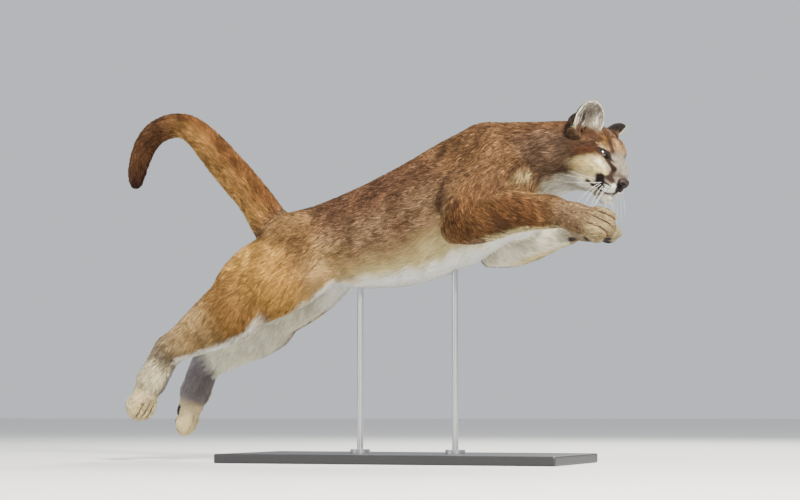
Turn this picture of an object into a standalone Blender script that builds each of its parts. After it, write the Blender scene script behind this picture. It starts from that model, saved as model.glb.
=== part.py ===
"""A life-size cougar caught in mid leap, on a plain display stand.

Metres, +Z up. The cat faces +X and its left side is +Y. The origin is the middle of the
underside of the whole model. The body is fused from muscle and bone forms, then parted
with thin cuts where the parts of a cat are named.
"""

import math

import bmesh
import bpy
from mathutils import Matrix, Vector

# Gap that touching pieces keep.
GAP = 0.0003
CUT_THICKNESS = 0.0004

# Display stand.
BASE_LENGTH = 0.90
BASE_WIDTH = 0.42
BASE_THICKNESS = 0.024
BASE_EDGE = 0.004
BASE_CENTRE_X = 0.02
ROD_RADIUS = 0.008
COLLAR_RADIUS = 0.026
COLLAR_HEIGHT = 0.010
ROD_X = {"front": 0.150, "rear": -0.110}
ROD_TOP = 0.55

# The trunk's cross sections, tail end first: centre x, centre z, pitch in degrees,
# half height, half width.
TRUNK = (
    (-0.372, 0.588, 34, 0.040, 0.036),
    (-0.345, 0.580, 28, 0.072, 0.066),
    (-0.285, 0.566, 22, 0.094, 0.088),
    (-0.199, 0.567, 20, 0.110, 0.094),
    (-0.120, 0.576, 20, 0.126, 0.102),
    (-0.047, 0.590, 20, 0.139, 0.110),
    (0.034, 0.615, 20, 0.149, 0.117),
    (0.090, 0.638, 20, 0.152, 0.120),
    (0.170, 0.675, 19, 0.158, 0.114),
    (0.250, 0.716, 12, 0.156, 0.098),
    (0.318, 0.738, 6, 0.130, 0.088),
    (0.372, 0.760, 4, 0.104, 0.081),
    (0.430, 0.774, 2, 0.089, 0.077),
    (0.500, 0.777, 0, 0.080, 0.072),
)
NECK_TURN_Y = -0.016

# Joints of the limbs, seen from the side, with the distance from the middle plane.
SCAPULA_TOP = Vector((0.212, 0.042, 0.826))
SHOULDER = Vector((0.330, 0.092, 0.735))
HIP = Vector((-0.258, 0.075, 0.575))
RIGHT_FORELEG = {
    "elbow": Vector((0.212, -0.126, 0.600)),
    "forearm": Vector((0.335, -0.130, 0.627)),
    "wrist": Vector((0.462, -0.122, 0.619)),
    "toes": Vector((0.600, -0.122, 0.572)),
    "dorsal": Vector((0.20, -0.74, 0.64)),
}
LEFT_FORELEG = {
    "elbow": Vector((0.218, 0.122, 0.562)),
    "forearm": Vector((0.330, 0.106, 0.580)),
    "wrist": Vector((0.446, 0.078, 0.602)),
    "toes": Vector((0.564, 0.046, 0.586)),
    "dorsal": Vector((0.10, 0.30, 0.95)),
}
RIGHT_HINDLEG = {
    "knee": Vector((-0.398, -0.112, 0.408)),
    "groin": Vector((-0.165, -0.062, 0.500)),
    "fold": Vector((-0.372, -0.098, 0.380)),
    "girth": 1.0,
    "hock": Vector((-0.616, -0.104, 0.292)),
    "ball": Vector((-0.672, -0.102, 0.198)),
    "toes": Vector((-0.712, -0.100, 0.112)),
    "dorsal": Vector((0.86, -0.25, -0.40)),
}
LEFT_HINDLEG = {
    "knee": Vector((-0.408, 0.112, 0.378)),
    "groin": Vector((-0.165, 0.062, 0.502)),
    "fold": Vector((-0.382, 0.102, 0.360)),
    "girth": 0.92,
    "hock": Vector((-0.604, 0.094, 0.258)),
    "ball": Vector((-0.634, 0.088, 0.170)),
    "toes": Vector((-0.664, 0.086, 0.066)),
    "dorsal": Vector((0.90, 0.15, -0.40)),
}

# The tail's centre line and its radius in the winter coat.
TAIL = (
    (-0.345, 0.595, 0.052),
    (-0.376, 0.643, 0.050),
    (-0.418, 0.703, 0.0465),
    (-0.476, 0.768, 0.0460),
    (-0.530, 0.827, 0.0440),
    (-0.580, 0.880, 0.0375),
    (-0.631, 0.910, 0.0335),
    (-0.690, 0.905, 0.0330),
    (-0.736, 0.873, 0.0315),
    (-0.760, 0.822, 0.0285),
    (-0.772, 0.770, 0.0230),
    (-0.771, 0.742, 0.0130),
)
TAIL_CUTS = (2.0, 4.6, 6.6, 8.7)
TAIL_SIDES = 16

# The head: its own frame has the origin between the eyes, X to the nose and Z to the crown.
HEAD_ORIGIN = Vector((0.584, -0.050, 0.757))
HEAD_YAW = -24.0
HEAD_PITCH = 31.0
HEAD_ROLL = -6.0
HEAD_SCALE = 0.98
EYE_RADIUS = 0.0150
EYE_CENTRE = Vector((-0.0150, 0.0360, -0.0015))
EYE_GAZE_OUT = 20.0
EYE_OPENING = (0.0155, 0.0076)
EYE_SLANT = 24.0
MOUTH_GROOVE = 0.0019
EAR_BASE = {-1: Vector((-0.076, -0.056, 0.033)), 1: Vector((-0.082, 0.060, 0.022))}
EAR_HALF = (0.028, 0.0385, 0.050)
EAR_RISE = 0.022
EAR_WALL = 0.0045
EAR_ROOT = Vector((-0.018, 0.015, -0.002))
EAR_ROOT_RADII = (0.030, 0.029, 0.033)
EAR_AXIS = {-1: Vector((-0.17, -0.21, 0.96)), 1: Vector((-0.38, 0.77, 0.51))}
EAR_OPENING = {-1: Vector((0.86, -0.50, 0.02)), 1: Vector((0.74, 0.58, -0.33))}

# Fineness of the fused forms, and triangles left on each after thinning.
BODY_VOXEL = 0.006
HEAD_VOXEL = 0.0026
HEAD_SMOOTHING = 9
HEAD_SWELL = 0.0006
SKULL_VOXEL = 0.0045
SKULL_SMOOTHING = 14
SKULL_SWELL = 0.0018
SKULL_TRIANGLES = 9000
EAR_VOXEL = 0.0022
EAR_SMOOTHING = 6
EAR_SWELL = 0.0004
EAR_TRIANGLES = 520
NOSE_VOXEL = 0.0012
NOSE_SMOOTHING = 3
NOSE_TRIANGLES = 280
NOSTRIL_VOXEL = 0.0008
NOSTRIL_TRIANGLES = 60
SLEEVE_VOXEL = 0.010
PAW_VOXEL = 0.0030
PAW_SMOOTHING = 8
PAW_SWELL = 0.0006
BODY_SMOOTHING = 30
BODY_SWELL = 0.0024
BODY_TRIANGLES = 4600
HEAD_TRIANGLES = 3400
PAW_TRIANGLES = 460

# Points nearer than this are one point.
WELD = 2e-6

COAT = (0.42, 0.24, 0.11)
PALE_COAT = (0.62, 0.52, 0.40)
DARK_COAT = (0.16, 0.09, 0.06)
NOSE_LEATHER = (0.16, 0.07, 0.06)
AMBER = (0.30, 0.20, 0.08)
BLACK_PAINT = (0.03, 0.03, 0.035)
STEEL = (0.55, 0.55, 0.56)


def clear_scene():
    for old in list(bpy.data.objects):
        bpy.data.objects.remove(old, do_unlink=True)


def material(name, colour, roughness, metallic=0.0):
    made = bpy.data.materials.new(name)
    made.use_nodes = True
    shader = made.node_tree.nodes["Principled BSDF"]
    shader.inputs["Base Color"].default_value = (*colour, 1.0)
    shader.inputs["Roughness"].default_value = roughness
    shader.inputs["Metallic"].default_value = metallic
    return made


def new_object(name, bm, collection):
    bmesh.ops.recalc_face_normals(bm, faces=bm.faces)
    if bm.calc_volume(signed=True) < 0:
        bmesh.ops.reverse_faces(bm, faces=bm.faces)
    mesh = bpy.data.meshes.new(name)
    bm.to_mesh(mesh)
    bm.free()
    made = bpy.data.objects.new(name, mesh)
    collection.objects.link(made)
    return made


def axes(forward, up):
    """A rotation whose X runs along forward and whose Z leans to up."""
    x = forward.normalized()
    y = up.cross(x).normalized()
    z = x.cross(y)
    return Matrix((x, y, z)).transposed().to_4x4()


def ellipsoid(bm, centre, radii, turn=None, sides=20):
    """A ball scaled to three radii, turned by a matrix."""
    place = Matrix.Translation(centre) @ (turn or Matrix.Identity(4)) @ Matrix.Diagonal((*radii, 1.0))
    bmesh.ops.create_uvsphere(bm, u_segments=sides, v_segments=sides * 2 // 3, radius=1.0, matrix=place)


def spindle(bm, start, end, thickness, width, up=Vector((0, 0, 1)), overrun=0.35):
    """A muscle: an ellipsoid along a line, thickness along up and width across it."""
    along = end - start
    half = along.length / 2 + overrun * thickness
    ellipsoid(bm, (start + end) / 2, (half, width, thickness), axes(along, up))


def ring(bm, centre, turn, half_width, half_height, egg=0.0, sides=20):
    """A closed loop across X of the turned frame. A positive egg widens its upper half."""
    upright = Matrix.Rotation(math.radians(90), 4, "Y")
    found = bmesh.ops.create_circle(bm, segments=sides, radius=1.0, matrix=upright)
    for vert in found["verts"]:
        swell = 1.0 + egg * vert.co.z
        vert.co = Vector((0.0, vert.co.y * half_width * swell, vert.co.z * half_height))
        vert.co = turn @ vert.co + centre
    return found["verts"]


def bridge(bm, rings):
    """Walls between neighbouring rings, and a flat end on the first and last."""
    loops = []
    for verts in rings:
        edges = {edge for vert in verts for edge in vert.link_edges}
        loops.append(list(edges))
    for before, after in zip(loops, loops[1:]):
        bmesh.ops.bridge_loops(bm, edges=before + after)
    for end in (rings[0], rings[-1]):
        bmesh.ops.contextual_create(bm, geom=end)


def tube(bm, points, up=Vector((0, 0, 1)), sides=16):
    """A limb: rings at points of (centre, half width, half height), across the run of the line."""
    rings = []
    for index, (centre, half_width, half_height) in enumerate(points):
        before = points[max(index - 1, 0)][0]
        after = points[min(index + 1, len(points) - 1)][0]
        rings.append((centre, axes(after - before, up), half_width, half_height))
    bridge(bm, [ring(bm, *values, sides=sides) for values in rings])


def mirrored(point, side):
    return Vector((point.x, point.y * side, point.z))


def fused(name, bm, voxel, smoothing, triangles, collection, swell=0.0):
    """One skin over all the forms in bm, smoothed and thinned to a number of triangles."""
    made = new_object(name, bm, collection)
    remesh = made.modifiers.new("fuse", "REMESH")
    remesh.mode = "VOXEL"
    remesh.voxel_size = voxel
    smooth = made.modifiers.new("smooth", "SMOOTH")
    smooth.factor = 0.5
    smooth.iterations = smoothing
    if swell:
        swelling = made.modifiers.new("swell", "DISPLACE")
        swelling.direction = "NORMAL"
        swelling.strength = swell
        swelling.mid_level = 0.0
    apply_modifiers(made)
    faces = sum(len(face.vertices) - 2 for face in made.data.polygons)
    thin = made.modifiers.new("thin", "DECIMATE")
    thin.ratio = min(1.0, triangles / faces)
    apply_modifiers(made)
    return made


def apply_modifiers(made):
    graph = bpy.context.evaluated_depsgraph_get()
    graph.update()
    mesh = bpy.data.meshes.new_from_object(made.evaluated_get(graph))
    made.modifiers.clear()
    made.data = mesh


def boolean(made, cutters, operation):
    """Joins or cuts with a list of objects, which are then removed."""
    group = bpy.data.collections.new("cutters")
    bpy.context.scene.collection.children.link(group)
    for cutter in cutters:
        for holder in list(cutter.users_collection):
            holder.objects.unlink(cutter)
        group.objects.link(cutter)
        cutter.hide_render = True
        cutter.display_type = "WIRE"
    change = made.modifiers.new("boolean", "BOOLEAN")
    change.operation = operation
    change.operand_type = "COLLECTION"
    change.collection = group
    change.solver = "EXACT"
    apply_modifiers(made)
    for cutter in cutters:
        bpy.data.objects.remove(cutter, do_unlink=True)
    bpy.data.collections.remove(group)
    keep_closed(made)


def islands(bm):
    """The vertices of each separate surface."""
    left = set(bm.verts)
    found = []
    while left:
        start = left.pop()
        group = {start}
        edge_of = [start]
        while edge_of:
            vert = edge_of.pop()
            for edge in vert.link_edges:
                other = edge.other_vert(vert)
                if other in left:
                    left.discard(other)
                    group.add(other)
                    edge_of.append(other)
        found.append(group)
    return found


def keep_closed(made):
    """Merges doubled points and drops flat faces that a cut leaves."""
    bm = bmesh.new()
    bm.from_mesh(made.data)
    bmesh.ops.remove_doubles(bm, verts=bm.verts, dist=WELD)
    bmesh.ops.dissolve_degenerate(bm, dist=WELD, edges=bm.edges)
    bmesh.ops.triangulate(bm, faces=bm.faces)
    bm.to_mesh(made.data)
    bm.free()


def keep_largest(made):
    """Leaves only the closed surface that holds most."""
    bm = bmesh.new()
    bm.from_mesh(made.data)
    groups = sorted(islands(bm), key=len)
    for group in groups[:-1]:
        bmesh.ops.delete(bm, geom=list(group), context="VERTS")
    bm.to_mesh(made.data)
    bm.free()


def copy_of(made, name, collection):
    twin = made.copy()
    twin.data = made.data.copy()
    twin.name = name
    collection.objects.link(twin)
    return twin


def half_of(made, point, normal):
    """Keeps what lies past a plane, along its normal, and closes the cut."""
    bm = bmesh.new()
    bm.from_mesh(made.data)
    cut = bmesh.ops.bisect_plane(
        bm,
        geom=list(bm.verts) + list(bm.edges) + list(bm.faces),
        plane_co=point + normal.normalized() * CUT_THICKNESS / 2,
        plane_no=normal,
        clear_inner=True,
        dist=1e-6,
    )
    edges = [item for item in cut["geom_cut"] if isinstance(item, bmesh.types.BMEdge)]
    bmesh.ops.holes_fill(bm, edges=edges, sides=0)
    bmesh.ops.triangulate(bm, faces=bm.faces)
    bmesh.ops.recalc_face_normals(bm, faces=bm.faces)
    bm.to_mesh(made.data)
    bm.free()
    keep_largest(made)


def part_in_two(made, plane, near, far, collection):
    """Cuts a piece at a plane. The far piece lies past it, along its normal."""
    point, normal = plane
    beyond = copy_of(made, far, collection)
    made.name = near
    half_of(beyond, point, normal)
    half_of(made, point, -normal)
    return made, beyond


def carved(body, volume, name, collection):
    """Takes what lies in a volume off the body, as a piece with a thin gap round it."""
    piece = copy_of(body, name, collection)
    boolean(piece, [copy_of(volume, "volume", collection)], "INTERSECT")
    keep_largest(piece)
    boolean(body, [grown(volume, CUT_THICKNESS, collection)], "DIFFERENCE")
    keep_largest(body)
    bpy.data.objects.remove(volume, do_unlink=True)
    return piece


def grown(made, by, collection):
    """A copy that stands proud of the first all over."""
    twin = copy_of(made, made.name + "_grown", collection)
    swell = twin.modifiers.new("swell", "DISPLACE")
    swell.direction = "NORMAL"
    swell.strength = by
    swell.mid_level = 0.0
    apply_modifiers(twin)
    return twin


def seat_on(made, carrier, collection):
    """Cuts a piece back to the surface that it grows from, with the usual gap."""
    boolean(made, [grown(carrier, GAP, collection)], "DIFFERENCE")
    keep_largest(made)


# Body forms.


def trunk_forms(bm):
    rings = []
    for index, (x, z, pitch, half_height, half_width) in enumerate(TRUNK):
        turn = Matrix.Rotation(math.radians(-pitch), 4, "Y")
        y = NECK_TURN_Y if index == len(TRUNK) - 1 else 0.0
        rings.append(ring(bm, Vector((x, y, z)), turn, half_width, half_height, egg=0.06))
    bridge(bm, rings)
    ellipsoid(bm, Vector((0.300, 0.0, 0.660)), (0.095, 0.098, 0.088))
    ellipsoid(bm, Vector((0.238, 0.0, 0.800)), (0.085, 0.055, 0.072))


def upper_foreleg_forms(bm, leg, side):
    """Shoulder blade, point of the shoulder, triceps and elbow."""
    shoulder = mirrored(SHOULDER, side)
    scapula = mirrored(SCAPULA_TOP, side)
    elbow = leg["elbow"]
    outward = Vector((0, side, 0))
    blade_foot = shoulder + Vector((-0.030, -side * 0.010, -0.010))
    spindle(bm, scapula, blade_foot, 0.044, 0.082, up=outward)
    spindle(bm, shoulder, elbow + Vector((0.020, 0, 0.015)), 0.046, 0.068, up=outward)
    triceps = Vector((0.232, side * 0.092, 0.720))
    spindle(bm, triceps, elbow + Vector((0.004, 0, 0.020)), 0.044, 0.078, up=outward)
    ellipsoid(bm, shoulder + Vector((-0.016, -side * 0.014, -0.034)), (0.066, 0.052, 0.078))
    ellipsoid(bm, Vector((0.262, side * 0.084, 0.690)), (0.082, 0.050, 0.092))
    point = elbow + Vector((-0.020, side * 0.002, -0.014))
    ellipsoid(bm, point, (0.038, 0.034, 0.040))


def lower_foreleg_forms(bm, leg):
    """Forearm, thick with muscle below the elbow, down to the wrist."""
    elbow, forearm, wrist = leg["elbow"], leg["forearm"], leg["wrist"]
    upper = elbow.lerp(forearm, 0.45)
    lower = forearm.lerp(wrist, 0.55)
    beyond = wrist + (wrist - lower).normalized() * 0.040
    tube(
        bm,
        (
            (elbow + Vector((-0.034, 0, -0.014)), 0.026, 0.034),
            (elbow, 0.046, 0.057),
            (upper, 0.051, 0.063),
            (forearm, 0.044, 0.058),
            (lower, 0.036, 0.044),
            (wrist, 0.036, 0.038),
            (beyond, 0.028, 0.028),
        ),
    )


def upper_hindleg_forms(bm, leg, side):
    """Thigh, buttock and the fold of the flank, the largest masses of the cat."""
    hip = mirrored(HIP, side)
    knee = leg["knee"]
    outward = Vector((0, side, 0))
    spindle(bm, hip + Vector((0.020, 0, -0.010)), knee + Vector((0.004, 0, 0.012)), 0.058, 0.090, up=outward)
    calf_top = knee + Vector((-0.064, -side * 0.006, 0.018))
    spindle(bm, Vector((-0.322, side * 0.066, 0.566)), calf_top, 0.052, 0.060, up=outward)
    ellipsoid(bm, hip + Vector((-0.010, -side * 0.010, 0.006)), (0.096, 0.058, 0.072))
    spindle(bm, leg["groin"], leg["fold"], 0.036, 0.044, up=outward, overrun=0.8)


def lower_hindleg_forms(bm, leg):
    """Shank with its calf, the heel, and the long foot down to the ball."""
    knee, hock, ball = leg["knee"], leg["hock"], leg["ball"]
    shank = hock - knee
    girth = leg["girth"]
    tube(
        bm,
        (
            (knee - shank * 0.20, 0.040, 0.058 * girth),
            (knee, 0.055, 0.082 * girth),
            (knee + shank * 0.28, 0.053, 0.080 * girth),
            (knee + shank * 0.55, 0.043, 0.063 * girth),
            (knee + shank * 0.80, 0.032, 0.047),
            (hock, 0.030, 0.040),
        ),
    )
    ellipsoid(bm, hock + Vector((-0.010, 0, 0.008)), (0.030, 0.028, 0.030))
    foot = ball - hock
    beyond = ball + foot.normalized() * 0.030
    tube(
        bm,
        (
            (hock - foot * 0.10, 0.028, 0.032),
            (hock + foot * 0.20, 0.032, 0.040),
            (hock.lerp(ball, 0.6), 0.034, 0.041),
            (ball, 0.038, 0.042),
            (beyond, 0.030, 0.032),
        ),
        up=leg["dorsal"],
    )


def tail_line(position):
    """Centre and radius of the tail at a position counted in stations, smooth between them."""
    index = min(int(position), len(TAIL) - 2)
    part = position - index
    known = [TAIL[min(max(index + step, 0), len(TAIL) - 1)] for step in (-1, 0, 1, 2)]
    values = []
    for a, b, c, d in zip(*known):
        tangent_in, tangent_out = (c - a) / 2, (d - b) / 2
        square, cube = part * part, part * part * part
        values.append(
            (2 * cube - 3 * square + 1) * b
            + (cube - 2 * square + part) * tangent_in
            + (3 * square - 2 * cube) * c
            + (cube - square) * tangent_out
        )
    x, z, radius = values
    return Vector((x, 0.0, z)), radius


def tail_forms(bm, start, end, stations):
    """A stretch of the tail between two positions, with flat ends."""
    rings = []
    for index in range(stations):
        position = start + (end - start) * index / (stations - 1)
        centre, radius = tail_line(position)
        ahead, _ = tail_line(min(position + 0.05, len(TAIL) - 1))
        behind, _ = tail_line(max(position - 0.05, 0.0))
        turn = axes(ahead - behind, Vector((0, 1, 0)))
        rings.append(ring(bm, centre, turn, radius, radius * 0.96, sides=TAIL_SIDES))
    bridge(bm, rings)


# Paws.


def paw_forms(bm, leg, fore):
    """Four toes round a broad pad. The paw's frame runs from the wrist or ball to the toes."""
    root = leg["wrist"] if fore else leg["ball"]
    reach = leg["toes"] - root
    turn = Matrix.Translation(root) @ axes(reach, leg["dorsal"])
    rotation = turn.to_3x3().to_4x4()
    length = reach.length
    knuckle = length * (0.50 if fore else 0.34)
    spread = 0.036 if fore else 0.031

    def lump(x, y, z, radii):
        ellipsoid(bm, turn @ Vector((x, y, z)), radii, rotation)

    lump(knuckle * 0.55, 0, 0, (knuckle * 0.80, spread + 0.004, 0.034))
    lump(knuckle * 1.10, 0, -0.001, (0.038, spread + 0.010, 0.028))
    for index in range(4):
        across = (index - 1.5) / 1.5
        tip = length - 0.014 * across**2
        middle = (knuckle + tip) / 2
        y = across * spread
        lump(middle - 0.002, y * 0.94, 0.005, (0.038, 0.0155, 0.0180))
        lump(tip - 0.022, y * 1.00, -0.004, (0.0225, 0.0145, 0.0170))
        lump(tip - 0.024, y * 0.98, -0.017, (0.0150, 0.0105, 0.0065))
    lump(knuckle * 1.04, 0, -0.024, (0.024, spread * 0.74, 0.011))
    if fore:
        lump(0.006, -0.006, -0.034, (0.013, 0.011, 0.010))


# Head.


def head_matrix():
    turn = (
        Matrix.Rotation(math.radians(HEAD_YAW), 4, "Z")
        @ Matrix.Rotation(math.radians(HEAD_PITCH), 4, "Y")
        @ Matrix.Rotation(math.radians(HEAD_ROLL), 4, "X")
    )
    return Matrix.Translation(HEAD_ORIGIN) @ turn @ Matrix.Scale(HEAD_SCALE, 4)


def pair(bm, centre, radii, turn=None):
    """An ellipsoid on each side of the head."""
    for side in (-1, 1):
        ellipsoid(bm, Vector((centre[0], centre[1] * side, centre[2])), radii, turn)


def skull_forms(bm):
    """Cranium, cheeks, brows and the full coat of the throat, in the head's frame."""
    ellipsoid(bm, Vector((-0.070, 0, -0.004)), (0.080, 0.064, 0.056))
    ellipsoid(bm, Vector((-0.024, 0, 0.008)), (0.042, 0.047, 0.039))
    pair(bm, (-0.044, 0.037, -0.038), (0.056, 0.041, 0.052))
    pair(bm, (-0.074, 0.042, -0.056), (0.046, 0.037, 0.046))
    pair(bm, (-0.012, 0.0245, 0.013), (0.020, 0.0175, 0.0125))
    pair(bm, (-0.016, 0.032, -0.018), (0.022, 0.020, 0.022))
    pair(bm, (0.002, 0.030, -0.046), (0.034, 0.024, 0.034))
    pair(bm, (0.015, 0.014, -0.020), (0.026, 0.016, 0.019))
    pair(bm, (-0.036, 0.028, -0.078), (0.054, 0.034, 0.027))
    ellipsoid(bm, Vector((-0.032, 0, -0.075)), (0.058, 0.042, 0.030))
    ellipsoid(bm, Vector((-0.078, 0, -0.076)), (0.058, 0.056, 0.044))
    ellipsoid(bm, Vector((-0.110, 0, -0.062)), (0.060, 0.070, 0.070))


def muzzle_forms(bm):
    """Bridge of the nose, whisker pads, chin and lower jaw."""
    spindle(bm, Vector((-0.004, 0, 0.000)), Vector((0.056, 0, -0.036)), 0.021, 0.021)
    ellipsoid(bm, Vector((0.028, 0, -0.046)), (0.039, 0.028, 0.029))
    pair(bm, (0.0360, 0.0140, -0.0600), (0.0250, 0.0180, 0.0225))
    pair(bm, (0.019, 0.024, -0.056), (0.029, 0.019, 0.027))
    ellipsoid(bm, Vector((0.036, 0, -0.0935)), (0.0180, 0.0230, 0.0185))
    ellipsoid(bm, Vector((0.022, 0, -0.0910)), (0.0260, 0.0270, 0.0170))
    for side in (-1, 1):
        start = Vector((0.028, side * 0.010, -0.092))
        spindle(bm, start, Vector((-0.056, side * 0.030, -0.080)), 0.017, 0.020)


def eye_frame(side):
    """The eyeball's place, with X along the gaze and the slant of the lids."""
    turn = Matrix.Rotation(math.radians(EYE_GAZE_OUT) * side, 4, "Z") @ Matrix.Rotation(
        math.radians(-8), 4, "Y"
    )
    slant = Matrix.Rotation(math.radians(EYE_SLANT) * side, 4, "X")
    return Matrix.Translation(mirrored(EYE_CENTRE, side)) @ turn @ slant


def almond(side, collection):
    """A prism whose outline is the opening of the lids."""
    bm = bmesh.new()
    half_width, half_height = EYE_OPENING
    upright = Matrix.Rotation(math.radians(90), 4, "Y")
    found = bmesh.ops.create_circle(bm, cap_ends=True, segments=16, radius=1.0, matrix=upright)
    for vert in found["verts"]:
        across = vert.co.y
        vert.co = Vector((0.006, across * half_width, vert.co.z * half_height * (1 - 0.35 * across**2)))
    grown_face = bmesh.ops.extrude_face_region(bm, geom=list(bm.faces))
    moved = [item for item in grown_face["geom"] if isinstance(item, bmesh.types.BMVert)]
    bmesh.ops.translate(bm, verts=moved, vec=(0.030, 0, 0))
    bm.transform(head_matrix() @ eye_frame(side))
    return new_object("almond", bm, collection)


def eyeball(name, side, radius, collection):
    bm = bmesh.new()
    bmesh.ops.create_uvsphere(bm, u_segments=16, v_segments=10, radius=radius)
    lie = Matrix.Rotation(math.radians(90), 4, "Y")
    bm.transform(head_matrix() @ eye_frame(side) @ lie)
    return new_object(name, bm, collection)


def lid_forms(bm):
    """A ring of lid round each eye, fused to the face."""
    for side in (-1, 1):
        place = eye_frame(side)
        ellipsoid(bm, place.translation, (0.0178, 0.0190, 0.0165), place.to_3x3().to_4x4())


def mouth_line(collection):
    """A round groove from under the nose to each corner of the mouth."""
    cutters = []
    for side in (-1, 1):
        route = (
            (0.0620, 0.000, -0.0640),
            (0.0590, 0.003, -0.0740),
            (0.0520, 0.012, -0.0825),
            (0.0410, 0.022, -0.0850),
            (0.0270, 0.032, -0.0805),
            (0.0090, 0.040, -0.0795),
        )
        curve = bpy.data.curves.new("mouth", "CURVE")
        curve.dimensions = "3D"
        curve.bevel_depth = MOUTH_GROOVE
        curve.bevel_resolution = 1
        curve.use_fill_caps = True
        curve.resolution_u = 3
        spline = curve.splines.new("BEZIER")
        spline.bezier_points.add(len(route) - 1)
        for point, (x, y, z) in zip(spline.bezier_points, route):
            point.co = head_matrix() @ Vector((x, y * side, z))
            point.handle_left_type = point.handle_right_type = "AUTO"
        guide = bpy.data.objects.new("mouth_guide", curve)
        collection.objects.link(guide)
        graph = bpy.context.evaluated_depsgraph_get()
        mesh = bpy.data.meshes.new_from_object(guide.evaluated_get(graph))
        bpy.data.objects.remove(guide, do_unlink=True)
        bm = bmesh.new()
        bm.from_mesh(mesh)
        bmesh.ops.remove_doubles(bm, verts=bm.verts, dist=1e-6)
        cutters.append(new_object("mouth_cut", bm, collection))
    return cutters


def nose(collection):
    """The bare nose pad with its two nostrils."""
    bm = bmesh.new()
    ellipsoid(bm, Vector((0.0625, 0, -0.0370)), (0.0100, 0.0150, 0.0085))
    ellipsoid(bm, Vector((0.0655, 0, -0.0445)), (0.0085, 0.0108, 0.0090))
    pair(bm, (0.0595, 0.0112, -0.0405), (0.0095, 0.0074, 0.0080))
    ellipsoid(bm, Vector((0.0640, 0, -0.0560)), (0.0050, 0.0034, 0.0100))
    bm.transform(head_matrix())
    made = fused("nose", bm, NOSE_VOXEL, NOSE_SMOOTHING, NOSE_TRIANGLES, collection)
    holes = []
    for side in (-1, 1):
        bm = bmesh.new()
        turn = Matrix.Rotation(math.radians(32 * side), 4, "X")
        ellipsoid(bm, Vector((0.0735, 0.0078 * side, -0.0430)), (0.0085, 0.0030, 0.0036))
        ellipsoid(bm, Vector((0.0685, 0.0122 * side, -0.0415)), (0.0070, 0.0042, 0.0016), turn)
        bm.transform(head_matrix())
        holes.append(fused("nostril", bm, NOSTRIL_VOXEL, 2, NOSTRIL_TRIANGLES, collection))
    boolean(made, holes, "DIFFERENCE")
    keep_largest(made)
    return made


def ear(side, collection):
    """The rounded cup of one ear, opening forwards and outwards."""
    lean = axes(EAR_OPENING[side], EAR_AXIS[side])
    place = head_matrix() @ Matrix.Translation(EAR_BASE[side]) @ lean
    depth, half_width, height = EAR_HALF
    bm = bmesh.new()
    ellipsoid(bm, Vector((0, 0, EAR_RISE)), (depth, half_width, height))
    root = Vector((EAR_ROOT.x, side * EAR_ROOT.y, EAR_ROOT.z))
    ellipsoid(bm, root, EAR_ROOT_RADII)
    bm.transform(place)
    name = "ear_left" if side > 0 else "ear_right"
    made = fused(name, bm, EAR_VOXEL, EAR_SMOOTHING, EAR_TRIANGLES, collection, EAR_SWELL)
    cutters = []
    bm = bmesh.new()
    hollow = (depth, half_width - EAR_WALL, height - EAR_WALL)
    ellipsoid(bm, Vector((EAR_WALL + 0.004, 0, EAR_RISE)), hollow, sides=16)
    bm.transform(place)
    cutters.append(new_object("hollow", bm, collection))
    bm = bmesh.new()
    bmesh.ops.create_cube(bm, size=0.2, matrix=Matrix.Translation((0.1 + 0.006, 0, 0.05)))
    bm.transform(place)
    cutters.append(new_object("front", bm, collection))
    boolean(made, cutters, "DIFFERENCE")
    keep_largest(made)
    return made


# Assembly.

HEAD_CUT = (Vector((0.436, -0.004, 0.775)), Vector((1.0, -0.16, 0.05)))
NECK_CUT = (Vector((0.352, 0.0, 0.775)), Vector((1.0, 0.0, 0.12)))
BELLY_CUT = (Vector((0.020, 0.0, 0.610)), Vector((-1.0, 0.0, -0.36)))
HIPS_CUT = (Vector((-0.190, 0.0, 0.570)), Vector((-1.0, 0.0, -0.36)))
TAIL_CUT = (Vector((-0.386, 0.0, 0.657)), Vector((-0.55, 0.0, 0.83)))


def joint_plane(upper, joint, lower, lift):
    """The plane that halves the bend at a joint, moved up the limb by lift."""
    up, down = (upper - joint).normalized(), (lower - joint).normalized()
    normal = (down - up).normalized()
    return joint - normal * lift, normal


def leg_cuts(leg, side, fore):
    """Planes at the elbow or knee, at the hock, and where the finer paw begins."""
    if fore:
        elbow = joint_plane(mirrored(SHOULDER, side), leg["elbow"], leg["wrist"], 0.020)
        return elbow, (leg["wrist"], leg["wrist"] - leg["forearm"])
    knee = joint_plane(mirrored(HIP, side), leg["knee"], leg["hock"], 0.0)
    hock = joint_plane(leg["knee"], leg["hock"], leg["ball"], 0.0)
    return knee, hock, (leg["ball"], leg["ball"] - leg["hock"])


def leg_volume(leg, side, fore, collection):
    """A loose sleeve round a leg, which marks it off from the trunk."""
    bm = bmesh.new()
    if fore:
        ellipsoid(bm, Vector((0.268, side * 0.215, 0.675)), (0.180, 0.135, 0.190))
        beyond = leg["wrist"] + Vector((0.08, 0, 0))
        route = (leg["elbow"] + Vector((-0.04, 0, -0.01)), leg["elbow"], leg["forearm"], leg["wrist"], beyond)
        widths = (0.058, 0.066, 0.068, 0.062, 0.060)
    else:
        ellipsoid(bm, Vector((-0.335, side * 0.190, 0.455)), (0.165, 0.160, 0.185))
        route = (leg["knee"] + Vector((0.04, 0, 0.05)), leg["knee"], leg["hock"], leg["ball"], leg["toes"])
        widths = (0.100, 0.105, 0.075, 0.070, 0.060)
    tube(bm, [(centre, width, width) for centre, width in zip(route, widths)])
    return fused("sleeve", bm, SLEEVE_VOXEL, 6, 180, collection)


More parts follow.
